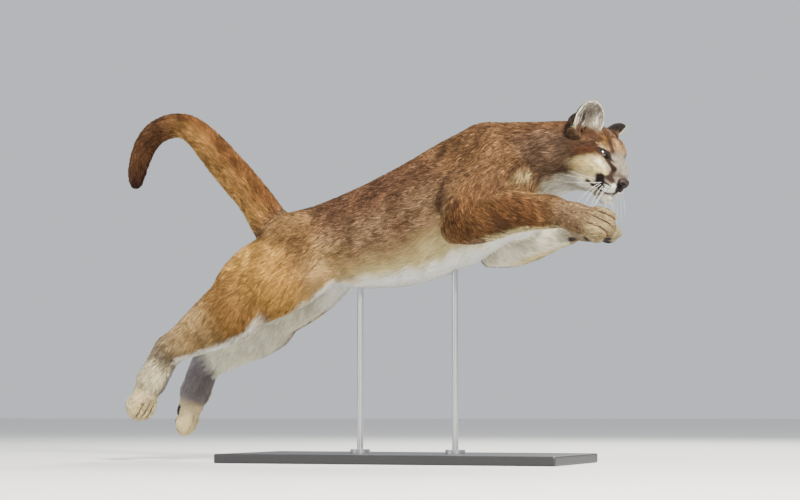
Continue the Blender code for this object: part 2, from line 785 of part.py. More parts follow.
def build_body(limbs, parts, coat):
    """Trunk and legs fused as one skin, then parted."""
    bm = bmesh.new()
    trunk_forms(bm)
    tail_forms(bm, 0.0, 3.0, 8)
    for leg, side, fore in limbs.values():
        if fore:
            upper_foreleg_forms(bm, leg, side)
            lower_foreleg_forms(bm, leg)
        else:
            upper_hindleg_forms(bm, leg, side)
            lower_hindleg_forms(bm, leg)
    body = fused("body", bm, BODY_VOXEL, BODY_SMOOTHING, BODY_TRIANGLES, parts, BODY_SWELL)
    for name, (leg, side, fore) in limbs.items():
        piece = carved(body, leg_volume(leg, side, fore, parts), name, parts)
        cuts = leg_cuts(leg, side, fore)
        names = ("upper", "forearm", "rest") if fore else ("thigh", "shank", "foot", "rest")
        for plane, near, far in zip(cuts, names, names[1:]):
            _, piece = part_in_two(piece, plane, f"{name}_{near}", f"{name}_{far}", parts)
        bpy.data.objects.remove(piece, do_unlink=True)
    chest, belly = part_in_two(body, BELLY_CUT, "chest", "belly", parts)
    _, hips = part_in_two(belly, HIPS_CUT, "belly", "hips", parts)
    _, stub = part_in_two(hips, TAIL_CUT, "hips", "tail_stub", parts)
    bpy.data.objects.remove(stub, do_unlink=True)
    _, neck = part_in_two(chest, NECK_CUT, "chest", "neck", parts)
    _, stub = part_in_two(neck, HEAD_CUT, "neck", "head_stub", parts)
    bpy.data.objects.remove(stub, do_unlink=True)
    for made in parts.objects:
        keep_closed(made)
        made.data.materials.append(coat)


def main():
    clear_scene()
    parts = bpy.data.collections.new("cougar")
    bpy.context.scene.collection.children.link(parts)
    coat = material("coat", COAT, 0.85)
    pale = material("pale_coat", PALE_COAT, 0.85)
    dark = material("dark_coat", DARK_COAT, 0.85)
    limbs = {
        "foreleg_right": (RIGHT_FORELEG, -1, True),
        "foreleg_left": (LEFT_FORELEG, 1, True),
        "hindleg_right": (RIGHT_HINDLEG, -1, False),
        "hindleg_left": (LEFT_HINDLEG, 1, False),
    }
    build_body(limbs, parts, coat)
    for name, (leg, side, fore) in limbs.items():
        bm = bmesh.new()
        if fore:
            lower_foreleg_forms(bm, leg)
        else:
            lower_hindleg_forms(bm, leg)
        paw_forms(bm, leg, fore)
        paw = fused(name + "_paw", bm, PAW_VOXEL, PAW_SMOOTHING, PAW_TRIANGLES * 3, parts, PAW_SWELL)
        point, normal = leg_cuts(leg, side, fore)[-1]
        half_of(paw, point, normal)
        thin_to(paw, PAW_TRIANGLES)
        half_of(paw, point, normal)
        paw.data.materials.append(pale)
    build_tail(parts, coat, dark)
    build_head(parts, coat, dark)
    build_stand(parts)
    rest_on_floor(parts)


def thin_to(made, triangles):
    thin = made.modifiers.new("thin", "DECIMATE")
    thin.ratio = min(1.0, triangles / len(made.data.polygons))
    apply_modifiers(made)


def build_tail(parts, coat, dark):
    """The tail in lengths, each between two cuts, after the stub on the hips."""
    last = len(TAIL) - 1
    cuts = (*TAIL_CUTS, last)
    for index in range(len(cuts)):
        start = 0.6 if index == 0 else cuts[index - 1]
        end = cuts[index]
        bm = bmesh.new()
        shift = 0.0 if index == 0 else 0.006
        tail_forms(bm, start + shift, end, 3 + int((end - start) * 2))
        piece = new_object(f"tail_{index + 1}", bm, parts)
        if index == 0:
            half_of(piece, *TAIL_CUT)
        keep_closed(piece)
        piece.data.materials.append(dark if index == len(cuts) - 1 else coat)


def build_head(parts, coat, dark):
    """Head, lower jaw, nose, ears and eyes."""
    bm = bmesh.new()
    skull_forms(bm)
    bm.transform(head_matrix())
    trunk_forms(bm)
    skull = fused("skull", bm, SKULL_VOXEL, SKULL_SMOOTHING, SKULL_TRIANGLES, parts, SKULL_SWELL)
    bm = bmesh.new()
    muzzle_forms(bm)
    lid_forms(bm)
    bm.transform(head_matrix())
    bm.from_mesh(skull.data)
    bpy.data.objects.remove(skull, do_unlink=True)
    head = fused("head", bm, HEAD_VOXEL, HEAD_SMOOTHING, HEAD_TRIANGLES, parts, HEAD_SWELL)
    half_of(head, *HEAD_CUT)
    cutters = []
    for side in (-1, 1):
        cutters.append(eyeball("socket", side, EYE_RADIUS + GAP, parts))
        cutters.append(almond(side, parts))
    boolean(head, cutters, "DIFFERENCE")
    keep_largest(head)
    for cutter in mouth_line(parts):
        boolean(head, [cutter], "DIFFERENCE")
    keep_largest(head)
    head.data.materials.append(coat)
    eye_finish = material("eye", AMBER, 0.1)
    for side in (-1, 1):
        ball = eyeball("eye_left" if side > 0 else "eye_right", side, EYE_RADIUS, parts)
        ball.data.materials.append(eye_finish)
        cup = ear(side, parts)
        seat_on(cup, head, parts)
        cup.data.materials.append(dark)
    pad = nose(parts)
    seat_on(pad, head, parts)
    pad.data.materials.append(material("nose_leather", NOSE_LEATHER, 0.45))


def build_stand(parts):
    """A flat board, and two rods that rise from collars to the chest and belly."""
    painted = material("stand_plate", BLACK_PAINT, 0.5)
    steel = material("stand_steel", STEEL, 0.3, 1.0)
    bm = bmesh.new()
    size = Matrix.Diagonal((BASE_LENGTH, BASE_WIDTH, BASE_THICKNESS, 1.0))
    place = Matrix.Translation((BASE_CENTRE_X, 0, BASE_THICKNESS / 2))
    bmesh.ops.create_cube(bm, size=1.0, matrix=place @ size)
    bmesh.ops.bevel(
        bm, geom=list(bm.edges), offset=BASE_EDGE, segments=2, profile=0.5, affect="EDGES", material=-1
    )
    base = new_object("stand_base", bm, parts)
    base.data.materials.append(painted)
    for name, x in ROD_X.items():
        bm = bmesh.new()
        low = BASE_THICKNESS + GAP
        bmesh.ops.create_cone(
            bm,
            cap_ends=True,
            segments=32,
            radius1=COLLAR_RADIUS,
            radius2=COLLAR_RADIUS,
            depth=COLLAR_HEIGHT,
            matrix=Matrix.Translation((x, 0, low + COLLAR_HEIGHT / 2)),
        )
        collar = new_object(f"stand_collar_{name}", bm, parts)
        collar.data.materials.append(steel)
        low += COLLAR_HEIGHT + GAP
        bm = bmesh.new()
        bmesh.ops.create_cone(
            bm,
            cap_ends=True,
            segments=20,
            radius1=ROD_RADIUS,
            radius2=ROD_RADIUS,
            depth=ROD_TOP - low,
            matrix=Matrix.Translation((x, 0, (ROD_TOP + low) / 2)),
        )
        rod = new_object(f"stand_rod_{name}", bm, parts)
        seat_on(rod, bpy.data.objects["chest" if name == "front" else "belly"], parts)
        rod.data.materials.append(steel)


def rest_on_floor(parts):
    """Moves the whole model so that the origin is the middle of its underside."""
    corners = [made.matrix_world @ Vector(corner) for made in parts.objects for corner in made.bound_box]
    low = Vector([min(corner[axis] for corner in corners) for axis in range(3)])
    high = Vector([max(corner[axis] for corner in corners) for axis in range(3)])
    shift = Vector((-(low.x + high.x) / 2, -(low.y + high.y) / 2, -low.z))
    for made in parts.objects:
        made.data.transform(Matrix.Translation(shift))
        made.data.update()


main()
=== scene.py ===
"""The looks of a leaping cougar, a life-size model held over a plain display stand.

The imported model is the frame. One skin takes the place of its flesh and a coat of tufts
lies on the skin. Eyes, nose, whiskers, stand, floor, light and camera complete it.
"""

import math

import bmesh
import bpy
import numpy as np
from mathutils import Matrix, Vector
from mathutils.bvhtree import BVHTree
from mathutils.kdtree import KDTree


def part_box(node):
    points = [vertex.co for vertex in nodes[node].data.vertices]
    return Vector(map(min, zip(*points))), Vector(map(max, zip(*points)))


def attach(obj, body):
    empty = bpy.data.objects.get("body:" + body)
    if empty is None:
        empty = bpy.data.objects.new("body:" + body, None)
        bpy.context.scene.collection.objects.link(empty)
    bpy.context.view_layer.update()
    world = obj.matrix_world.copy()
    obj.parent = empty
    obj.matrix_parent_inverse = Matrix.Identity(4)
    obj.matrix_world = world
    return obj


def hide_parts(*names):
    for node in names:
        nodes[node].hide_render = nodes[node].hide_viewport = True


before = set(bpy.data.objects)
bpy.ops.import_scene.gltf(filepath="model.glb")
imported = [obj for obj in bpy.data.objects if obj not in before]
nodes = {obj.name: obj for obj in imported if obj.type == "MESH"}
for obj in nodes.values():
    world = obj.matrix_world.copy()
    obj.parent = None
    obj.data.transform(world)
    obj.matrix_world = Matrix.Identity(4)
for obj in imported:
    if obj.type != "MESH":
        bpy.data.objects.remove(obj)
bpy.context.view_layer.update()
random = np.random.default_rng(11)


# Guides. Lines along the bones settle where the colours lie, which way the coat runs and
# how the skin unwraps. A row is a point, the flesh's radius there and the lie of the coat.

base_low, base_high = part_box("stand_base")
SHIFT = Vector(((base_low.x + base_high.x) / 2 - 0.020, 0.0, 0.0))
HEAD = (
    Matrix.Translation(Vector((0.584, -0.050, 0.757)) + SHIFT)
    @ Matrix.Rotation(math.radians(-24), 4, "Z")
    @ Matrix.Rotation(math.radians(31), 4, "Y")
    @ Matrix.Rotation(math.radians(-6), 4, "X")
    @ Matrix.Scale(0.98, 4)
)


def metres(point):
    return Vector([value / 1000 for value in point[:3]])


def line(points, flows):
    """Rows of place, radius and flow, moved to the frame."""
    rows = []
    for point, flow in zip(points, flows):
        rows.append((*(metres(point) + SHIFT), point[3] / 1000, *Vector(flow).normalized()))
    return np.array(rows)


def head_line(points):
    """Rows along the skull, from the nose to the nape. The coat runs back along them."""
    places = [HEAD @ metres(point) for point in points]
    rows = []
    for index, (place, point) in enumerate(zip(places, points)):
        ahead = places[min(index + 1, len(places) - 1)]
        behind = places[max(index - 1, 0)]
        rows.append((*place, point[3] / 1000, *(ahead - behind).normalized()))
    return np.array(rows)


# Each route is a row of places and radii in millimetres.
HEAD_ROUTE = (
    (78, 0, -45, 16), (45, 0, -48, 30), (0, 0, -34, 48),
    (-45, 0, -22, 62), (-90, 0, -30, 70),
)
ROUTES = {
    "trunk": (
        (470, -12, 776, 78), (430, -4, 774, 85), (372, 0, 760, 95), (318, 0, 738, 110),
        (250, 0, 716, 127), (170, 0, 675, 136), (90, 0, 638, 136), (34, 0, 615, 133),
        (-47, 0, 590, 125), (-120, 0, 576, 114), (-199, 0, 567, 102), (-285, 0, 566, 90),
        (-335, 0, 575, 70),
    ),
    "tail": (
        (-345, 0, 595, 52), (-376, 0, 643, 50), (-418, 0, 703, 46.5), (-476, 0, 768, 46),
        (-530, 0, 827, 44), (-580, 0, 880, 37.5), (-631, 0, 910, 33.5), (-690, 0, 905, 33),
        (-736, 0, 873, 31.5), (-760, 0, 822, 28.5), (-772, 0, 770, 23), (-771, 0, 742, 13),
    ),
    "foreleg_right": (
        (212, -60, 800, 60), (315, -88, 725, 70), (212, -126, 600, 55), (335, -130, 627, 52),
        (462, -122, 619, 37), (600, -122, 572, 34),
    ),
    "foreleg_left": (
        (212, 60, 800, 60), (315, 88, 725, 70), (218, 122, 562, 55), (330, 106, 580, 52),
        (446, 78, 602, 37), (564, 46, 586, 34),
    ),
    "hindleg_right": (
        (-258, -75, 575, 75), (-398, -112, 408, 72), (-616, -104, 292, 34), (-672, -102, 198, 37),
        (-712, -100, 112, 34),
    ),
    "hindleg_left": (
        (-258, 75, 575, 75), (-408, 112, 378, 70), (-604, 94, 258, 34), (-634, 88, 170, 37),
        (-664, 86, 66, 34),
    ),
}
TAIL_FLOWS = (
    (-0.5, 0, 0.85), (-0.52, 0, 0.85), (-0.6, 0, 0.8), (-0.66, 0, 0.75), (-0.67, 0, 0.74),
    (-0.8, 0, 0.6), (-1, 0, 0.2), (-0.9, 0, -0.35), (-0.6, 0, -0.8), (-0.3, 0, -0.95),
    (-0.1, 0, -1), (0, 0, -1),
)
FORE_FLOWS = (
    (-0.8, 0, -0.5), (-0.6, 0, -0.8), (0.35, 0, -0.7), (0.95, 0, -0.28), (1, 0, -0.1), (1, 0, -0.2),
)
HIND_FLOWS = (
    (-0.8, 0, -0.5), (-0.7, 0, -0.75), (-0.75, 0, -0.65), (-0.5, 0, -0.9), (-0.4, 0, -0.9),
)
FLOWS = {
    "trunk": ((-1.0, 0, -0.22),) * len(ROUTES["trunk"]),
    "tail": TAIL_FLOWS,
    "foreleg_right": FORE_FLOWS,
    "foreleg_left": FORE_FLOWS,
    "hindleg_right": HIND_FLOWS,
    "hindleg_left": HIND_FLOWS,
}
guides = {"head": head_line(HEAD_ROUTE)}
guides.update((name, line(ROUTES[name], FLOWS[name])) for name in ROUTES)


def survey(points):
    """For each guide: how near every point is in radii, its station, and the row there."""
    found = {}
    for name, rows in guides.items():
        near = np.full(len(points), 1e9)
        station = np.zeros(len(points))
        row_at = np.zeros((len(points), rows.shape[1]))
        for index in range(len(rows) - 1):
            run = rows[index + 1, :3] - rows[index, :3]
            part = np.clip((points - rows[index, :3]) @ run / (run @ run), 0, 1)
            row = rows[index] + part[:, None] * (rows[index + 1] - rows[index])
            gap = np.linalg.norm(points - row[:, :3], axis=1) / row[:, 3]
            closer = gap < near
            near[closer] = gap[closer]
            station[closer] = index + part[closer]
            row_at[closer] = row[closer]
        found[name] = (near, station, row_at)
    total = sum(near**-7.0 for near, _, _ in found.values())
    return {name: (near**-7.0 / total, station, row) for name, (near, station, row) in found.items()}


def unit(vectors):
    return vectors / np.maximum(np.linalg.norm(vectors, axis=-1, keepdims=True), 1e-9)


def ramp(values, low, high):
    """0 below low, 1 above high, smooth between. It also runs downwards."""
    part = np.clip((values - low) / (high - low), 0, 1)
    return part * part * (3 - 2 * part)


def mottle(points, size, seed):
    """Smooth noise from 0 to 1 with patches of a given size."""
    scaled = points / size
    cell = np.floor(scaled).astype(np.int64)
    part = scaled - cell
    part = part * part * (3 - 2 * part)
    total = np.zeros(len(points))
    for corner in range(8):
        offset = np.array((corner & 1, corner >> 1 & 1, corner >> 2))
        key = cell + offset
        mixed = (key[:, 0] * 73856093) ^ (key[:, 1] * 19349663) ^ (key[:, 2] * 83492791) ^ (seed * 7919)
        mixed = (mixed ^ (mixed >> 13)) * 1274126177
        value = ((mixed ^ (mixed >> 16)) & 65535) / 65535.0
        total += value * np.prod(np.where(offset == 1, part, 1 - part), axis=1)
    return total


# Forms. Closed shapes are fused to one surface, then smoothed.


def axes(forward, up):
    """A rotation whose X runs along forward and whose Z leans to up."""
    x = Vector(forward).normalized()
    y = Vector(up).cross(x).normalized()
    return Matrix((x, y, x.cross(y))).transposed().to_4x4()


def ellipsoid(bm, centre, radii, turn=None, sides=32):
    place = Matrix.Translation(centre) @ (turn or Matrix.Identity(4)) @ Matrix.Diagonal((*radii, 1.0))
    bmesh.ops.create_uvsphere(bm, u_segments=sides, v_segments=sides * 2 // 3, radius=1.0, matrix=place)


def pair(bm, centre, radii):
    for side in (-1, 1):
        ellipsoid(bm, Vector((centre[0], centre[1] * side, centre[2])), radii)


def spindle(bm, start, end, thickness, width, overrun=0.35):
    start, end = Vector(start), Vector(end)
    half = (end - start).length / 2 + overrun * thickness
    ellipsoid(bm, (start + end) / 2, (half, width, thickness), axes(end - start, (0, 0, 1)))


def new_object(name, bm):
    mesh = bpy.data.meshes.new(name)
    bm.to_mesh(mesh)
    bm.free()
    made = bpy.data.objects.new(name, mesh)
    bpy.context.scene.collection.objects.link(made)
    return made


def settle(made):
    """Applies the modifiers."""
    graph = bpy.context.evaluated_depsgraph_get()
    graph.update()
    mesh = bpy.data.meshes.new_from_object(made.evaluated_get(graph))
    made.modifiers.clear()
    made.data = mesh


def fuse(made, voxel, smoothing, swell=0.0):
    remesh = made.modifiers.new("fuse", "REMESH")
    remesh.mode = "VOXEL"
    remesh.voxel_size = voxel
    smooth = made.modifiers.new("smooth", "SMOOTH")
    smooth.factor = 0.5
    smooth.iterations = smoothing
    if swell:
        swelling = made.modifiers.new("swell", "DISPLACE")
        swelling.direction = "NORMAL"
        swelling.strength = swell
        swelling.mid_level = 0.0
    settle(made)


def cut(made, cutter, operation="DIFFERENCE"):
    """A Boolean with one object, which is then removed."""
    change = made.modifiers.new("cut", "BOOLEAN")
    change.operation = operation
    change.object = cutter
    change.solver = "EXACT"
    settle(made)
    bpy.data.objects.remove(cutter, do_unlink=True)


def join_into(bm, made):
    """Adds an object's mesh to bm and removes the object."""
    bm.from_mesh(made.data)
    bpy.data.objects.remove(made, do_unlink=True)


def coordinates(mesh):
    """(points, normals) of the vertices."""
    points = np.empty(len(mesh.vertices) * 3, np.float32)
    mesh.vertices.foreach_get("co", points)
    normals = np.empty(len(mesh.vertices) * 3, np.float32)
    mesh.vertex_normals.foreach_get("vector", normals)
    return points.reshape(-1, 3).astype(float), normals.reshape(-1, 3).astype(float)


# Trunk, tail and limbs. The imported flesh, swollen a little so that its cuts close, fused
# and smoothed.
BODY_NODES = ["neck", "chest", "belly", "hips"] + [f"tail_{index}" for index in range(1, 6)]
for limb in ("foreleg_left", "foreleg_right"):
    BODY_NODES += [f"{limb}_upper", f"{limb}_forearm"]
for limb in ("hindleg_left", "hindleg_right"):
    BODY_NODES += [f"{limb}_thigh", f"{limb}_shank", f"{limb}_foot"]
BODY_VOXEL = 0.0048

bm = bmesh.new()
for name in BODY_NODES + ["head"]:
    part = bmesh.new()
    part.from_mesh(nodes[name].data)
    bmesh.ops.remove_doubles(part, verts=part.verts, dist=2e-5)
    if name == "head":
        # Only the back of the head, as a bed for the finer one.
        all_of_it = list(part.verts) + list(part.edges) + list(part.faces)
        nape = HEAD @ Vector((-0.075, 0, 0))
        ahead = HEAD.to_3x3() @ Vector((1, 0, 0))
        bmesh.ops.bisect_plane(part, geom=all_of_it, plane_co=nape, plane_no=ahead, clear_outer=True)
        bmesh.ops.holes_fill(part, edges=part.edges, sides=0)
    part.normal_update()
    for vert in part.verts:
        vert.co += vert.normal * 0.0006
    swollen = bpy.data.meshes.new("swollen")
    part.to_mesh(swollen)
    part.free()
    bm.from_mesh(swollen)
body = new_object("body", bm)
fuse(body, BODY_VOXEL, 22, 0.0012)


# Paws. Four toes round a broad pad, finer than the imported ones. The paw's frame runs from
# the wrist or ball to the toes, with its back turned as given here.
PAWS = {
    "foreleg_right": (0.20, -0.74, 0.64),
    "foreleg_left": (0.10, 0.30, 0.95),
    "hindleg_right": (0.86, -0.25, -0.40),
    "hindleg_left": (0.90, 0.15, -0.40),
}
PAW_VOXEL = 0.0021
paw_frames = {}

paw_pieces = []
for name, dorsal in PAWS.items():
    fore = name.startswith("fore")
    root, toes = (metres(point) for point in ROUTES[name][-2:])
    reach = toes - root
    turn = Matrix.Translation(root + SHIFT) @ axes(reach, dorsal)
    rotation = turn.to_3x3().to_4x4()
    length = reach.length
    knuckle = length * (0.50 if fore else 0.34)
    spread = 0.036 if fore else 0.031
    paw_frames[name] = (turn.inverted(), length, knuckle, spread)
    bm = bmesh.new()
    lumps = [
        (knuckle * 0.55, 0, 0, (knuckle * 0.80, spread + 0.004, 0.034)),
        (knuckle * 1.10, 0, -0.001, (0.038, spread + 0.010, 0.028)),
        (knuckle * 1.04, 0, -0.024, (0.024, spread * 0.74, 0.0115)),
        (-0.018, 0, 0, (0.058, 0.036, 0.038) if fore else (0.052, 0.037, 0.041)),
    ]
    for index in range(4):
        across = (index - 1.5) / 1.5
        tip = length - 0.014 * across**2
        y = across * spread
        lumps += [
            ((knuckle + tip) / 2 - 0.002, y * 0.94, 0.005, (0.038, 0.0155, 0.0180)),
            (tip - 0.022, y, -0.004, (0.0225, 0.0145, 0.0170)),
            (tip - 0.024, y * 0.98, -0.0175, (0.0150, 0.0105, 0.0065)),
        ]
    if fore:
        lumps.append((0.006, -0.006, -0.034, (0.013, 0.011, 0.010)))
    for x, y, z, radii in lumps:
        ellipsoid(bm, turn @ Vector((x, y, z)), radii, rotation, sides=24)
    paw = new_object("paw", bm)
    fuse(paw, PAW_VOXEL, 7, 0.0006)
    paw_pieces.append(paw)


# Head. Cranium, cheeks and throat are fused first, then the muzzle, brows and lids, which
# keep a crisper form.
EYE_CENTRE = Vector((-0.0150, 0.0360, -0.0015))
EYE_RADIUS = 0.0150
EYE_OPENING = (0.0150, 0.0062)


def eye_frame(side):
    """The eyeball's place in the head, with X along the gaze and the slant of the lids."""
    turn = Matrix.Rotation(math.radians(20 * side), 4, "Z") @ Matrix.Rotation(math.radians(-8), 4, "Y")
    slant = Matrix.Rotation(math.radians(24 * side), 4, "X")
    centre = Vector((EYE_CENTRE.x, EYE_CENTRE.y * side, EYE_CENTRE.z))
    return Matrix.Translation(centre) @ turn @ slant


bm = bmesh.new()
ellipsoid(bm, Vector((-0.070, 0, -0.004)), (0.080, 0.064, 0.056))
ellipsoid(bm, Vector((-0.024, 0, 0.008)), (0.042, 0.047, 0.039))
pair(bm, (-0.044, 0.037, -0.038), (0.056, 0.041, 0.052))
pair(bm, (-0.074, 0.042, -0.056), (0.046, 0.037, 0.046))
pair(bm, (-0.012, 0.0245, 0.013), (0.020, 0.0175, 0.0125))
pair(bm, (-0.016, 0.032, -0.018), (0.022, 0.020, 0.022))
pair(bm, (0.002, 0.030, -0.046), (0.034, 0.024, 0.034))
pair(bm, (0.014, 0.0150, -0.0155), (0.027, 0.0170, 0.0210))
pair(bm, (-0.036, 0.028, -0.078), (0.054, 0.034, 0.027))
ellipsoid(bm, Vector((-0.032, 0, -0.075)), (0.058, 0.042, 0.030))
ellipsoid(bm, Vector((-0.078, 0, -0.076)), (0.058, 0.056, 0.044))
ellipsoid(bm, Vector((-0.110, 0, -0.062)), (0.060, 0.070, 0.070))
bm.transform(HEAD)
ellipsoid(bm, Vector((0.480, -0.014, 0.777)) + SHIFT, (0.070, 0.074, 0.082))
skull = new_object("skull", bm)
fuse(skull, 0.0040, 17, 0.0018)

bm = bmesh.new()
spindle(bm, (-0.004, 0, 0.003), (0.057, 0, -0.0345), 0.021, 0.021)
ellipsoid(bm, Vector((0.028, 0, -0.046)), (0.039, 0.028, 0.029))
pair(bm, (0.0360, 0.0140, -0.0600), (0.0250, 0.0180, 0.0225))
pair(bm, (0.019, 0.024, -0.056), (0.029, 0.019, 0.027))
ellipsoid(bm, Vector((0.0330, 0, -0.0960)), (0.0190, 0.0215, 0.0180))
ellipsoid(bm, Vector((0.022, 0, -0.0910)), (0.0260, 0.0270, 0.0170))
for side in (-1, 1):
    spindle(bm, (0.028, side * 0.010, -0.092), (-0.056, side * 0.030, -0.080), 0.017, 0.020)
    lid = eye_frame(side)
    ellipsoid(bm, lid.translation, (0.0178, 0.0190, 0.0165), lid.to_3x3().to_4x4())
bm.transform(HEAD)
join_into(bm, skull)
head = new_object("head", bm)
fuse(head, 0.0020, 10, 0.0006)


# Ears. Each is a thin cup with a soft rim, rooted in the head.
EAR_BASE = {-1: Vector((-0.076, -0.056, 0.033)), 1: Vector((-0.082, 0.060, 0.022))}
EAR_AXIS = {-1: Vector((-0.17, -0.21, 0.96)), 1: Vector((-0.38, 0.77, 0.51))}
EAR_OPENING = {-1: Vector((0.86, -0.50, 0.02)), 1: Vector((0.74, 0.58, -0.33))}
EAR_HALF = (0.028, 0.0385, 0.050)
EAR_RISE = 0.022
EAR_HOLLOW = 0.0075
EAR_TRIANGLES = 9000
ear_frames = {}

ears = []
for side in (-1, 1):
    place = HEAD @ Matrix.Translation(EAR_BASE[side]) @ axes(EAR_OPENING[side], EAR_AXIS[side])
    ear_frames[side] = place.inverted()
    depth, half_width, height = EAR_HALF
    bm = bmesh.new()
    ellipsoid(bm, Vector((0, 0, EAR_RISE)), (depth, half_width, height), sides=48)
    ellipsoid(bm, Vector((-0.020, side * 0.017, 0.001)), (0.033, 0.030, 0.035), sides=48)
    bm.transform(place)
    cup = new_object("ear", bm)
    fuse(cup, 0.0018, 8, 0.0)
    bm = bmesh.new()
    radii = (depth, half_width - 0.0030, height - 0.0030)
    ellipsoid(bm, Vector((EAR_HOLLOW, 0, EAR_RISE)), radii, sides=48)
    bm.transform(place)
    cut(cup, new_object("hollow", bm))
    bm = bmesh.new()
    bmesh.ops.create_cube(bm, size=0.2, matrix=Matrix.Translation((0.1 + 0.0055, 0, 0.05)))
    bm.transform(place)
    cut(cup, new_object("front", bm))
    fuse(cup, 0.0011, 7, 0.0)
    thin = cup.modifiers.new("thin", "DECIMATE")
    thin.ratio = EAR_TRIANGLES / (2 * len(cup.data.polygons))
    settle(cup)
    ears.append(cup)


# Skin. All the flesh fused, drawn in by the depth of the coat and thinned. The face stays
# fine, with the mouth, lids and brows sunk or raised in it. The eye openings are cut and the ears join
# last.
SKIN_VOXEL = 0.0026
BODY_TRIANGLES = 60000
FACE_START = -0.058
COAT_DEPTH = {
    "head": 0.0024,
    "trunk": 0.0062,
    "tail": 0.0075,
    "foreleg_right": 0.0045,
    "foreleg_left": 0.0045,
    "hindleg_right": 0.0050,
    "hindleg_left": 0.0050,
}
PAW_DEPTH = 0.0014
HEAD_INVERSE = HEAD.inverted()
EYE_INVERSE = {side: eye_frame(side).inverted() for side in (-1, 1)}


def in_frame(matrix, points):
    turned = np.array(matrix)
    return points @ turned[:3, :3].T + turned[:3, 3]


def paw_share(surveyed, points):
    """1 on the paws, 0 above them."""
    share = np.zeros(len(points))
    for name in PAWS:
        weight, station, _ = surveyed[name]
        first = 3.6 if name.startswith("fore") else 2.6
        share = np.maximum(share, weight * ramp(station, first, first + 0.6))
    return share


def fold(places):
    """Both sides of the body laid on the left one."""
    return np.where([False, True, False], np.abs(places), places)


def stroke(places, start, end, radii, hardness=0.55):
    """1 along a line between two places, 0 past the radii, on both sides. They are in millimetres."""
    start, end, radii = (np.array(value) / 1000 for value in (start, end, radii))
    run = (end - start) / radii
    scaled = (fold(places) - start) / radii
    part = np.clip(scaled @ run / max(run @ run, 1e-12), 0, 1)
    gap = np.linalg.norm(scaled - part[:, None] * run, axis=1)
    return ramp(gap, 1.0, hardness)


def eye_reach(places):
    """How far each place is from the eye's middle, 1 at the lids' edge, and its height there."""
    least = np.full(len(places), 99.0)
    above = np.zeros(len(places))
    for side in (-1, 1):
        local = in_frame(EYE_INVERSE[side], places)
        across = np.clip(local[:, 1] / EYE_OPENING[0], -1.2, 1.2)
        tall = EYE_OPENING[1] * (1 - 0.35 * across**2)
        reach = np.hypot(local[:, 1] / EYE_OPENING[0], local[:, 2] / tall)
        nearer = (local[:, 0] > 0) & (reach < least)
        least = np.where(nearer, reach, least)
        above = np.where(nearer, local[:, 2], above)
    return least, above


bm = bmesh.new()
for made in (body, *paw_pieces, head):
    join_into(bm, made)
skin = new_object("skin", bm)
fuse(skin, SKIN_VOXEL, 3)
points, normals = coordinates(skin.data)
surveyed = survey(points)
depth = sum(surveyed[name][0] * COAT_DEPTH[name] for name in COAT_DEPTH)
depth += (PAW_DEPTH - depth) * paw_share(surveyed, points)
points -= normals * depth[:, None]
skin.data.vertices.foreach_set("co", points.astype(np.float32).ravel())
on_head = surveyed["head"][0] > 0.5
ahead = in_frame(HEAD_INVERSE, points)[:, 0]
loose = skin.vertex_groups.new(name="loose")
loose.add(np.flatnonzero(~on_head | (ahead < FACE_START)).tolist(), 1.0, "REPLACE")
kept = 4 * int((on_head & (ahead >= FACE_START)).sum()) // 2
smooth = skin.modifiers.new("smooth", "SMOOTH")
smooth.factor = 0.5
smooth.iterations = 2
thin = skin.modifiers.new("thin", "DECIMATE")
thin.ratio = min(1.0, (BODY_TRIANGLES + kept) / (2 * len(skin.data.polygons)))
thin.vertex_group = "loose"
thin.vertex_group_factor = 1.0
settle(skin)

bm = bmesh.new()
bm.from_mesh(skin.data)
fine = set()
for vert in bm.verts:
    place = HEAD_INVERSE @ vert.co
    if place.x > FACE_START and place.length < 0.16:
        fine.add(vert)
edges = [edge for edge in bm.edges if edge.verts[0] in fine and edge.verts[1] in fine]
bmesh.ops.subdivide_edges(bm, edges=edges, cuts=1, use_grid_fill=True)
bmesh.ops.triangulate(bm, faces=[face for face in bm.faces if len(face.verts) > 3])
near_face = []
for vert in bm.verts:
    place = HEAD_INVERSE @ vert.co
    if place.x > FACE_START + 0.003 and place.length < 0.157:
        near_face.append(vert)
for _ in range(3):
    all_ways = {"use_axis_x": True, "use_axis_y": True, "use_axis_z": True}
    bmesh.ops.smooth_vert(bm, verts=near_face, factor=0.5, **all_ways)
bm.to_mesh(skin.data)
surface = BVHTree.FromBMesh(bm)
bm.free()

# The line of the mouth, laid on the skin from under the nose to the corner.
MOUTH = (
    (60, 0, -64),
    (57, 2, -73.5),
    (50, 8.5, -81.5),
    (40, 18, -85),
    (26, 27, -84),
    (12, 39, -77.5),
)
MOUTH_STEPS = 5
mouth_route = []
for start, end in zip(MOUTH, MOUTH[1:]):
    for step in range(MOUTH_STEPS):
        place = metres(start).lerp(metres(end), step / MOUTH_STEPS)
        mouth_route.append(HEAD_INVERSE @ surface.find_nearest(HEAD @ place)[0])
mouth_route = np.abs(np.array(mouth_route)) * np.array((1, 1, -1))


def mouth_gap(places):
    """Distance from the line of the mouth, in metres."""
    folded = fold(places)
    least = np.full(len(places), 1.0)
    close = np.flatnonzero((folded[:, 0] > 0) & (folded[:, 2] < -0.05))
    near = folded[close]
    gap = np.full(len(close), 1.0)
    for start, end in zip(mouth_route, mouth_route[1:]):
        run = end - start
        part = np.clip((near - start) @ run / max(run @ run, 1e-12), 0, 1)
        gap = np.minimum(gap, np.linalg.norm(near - start - part[:, None] * run, axis=1))
    least[close] = gap
    return least


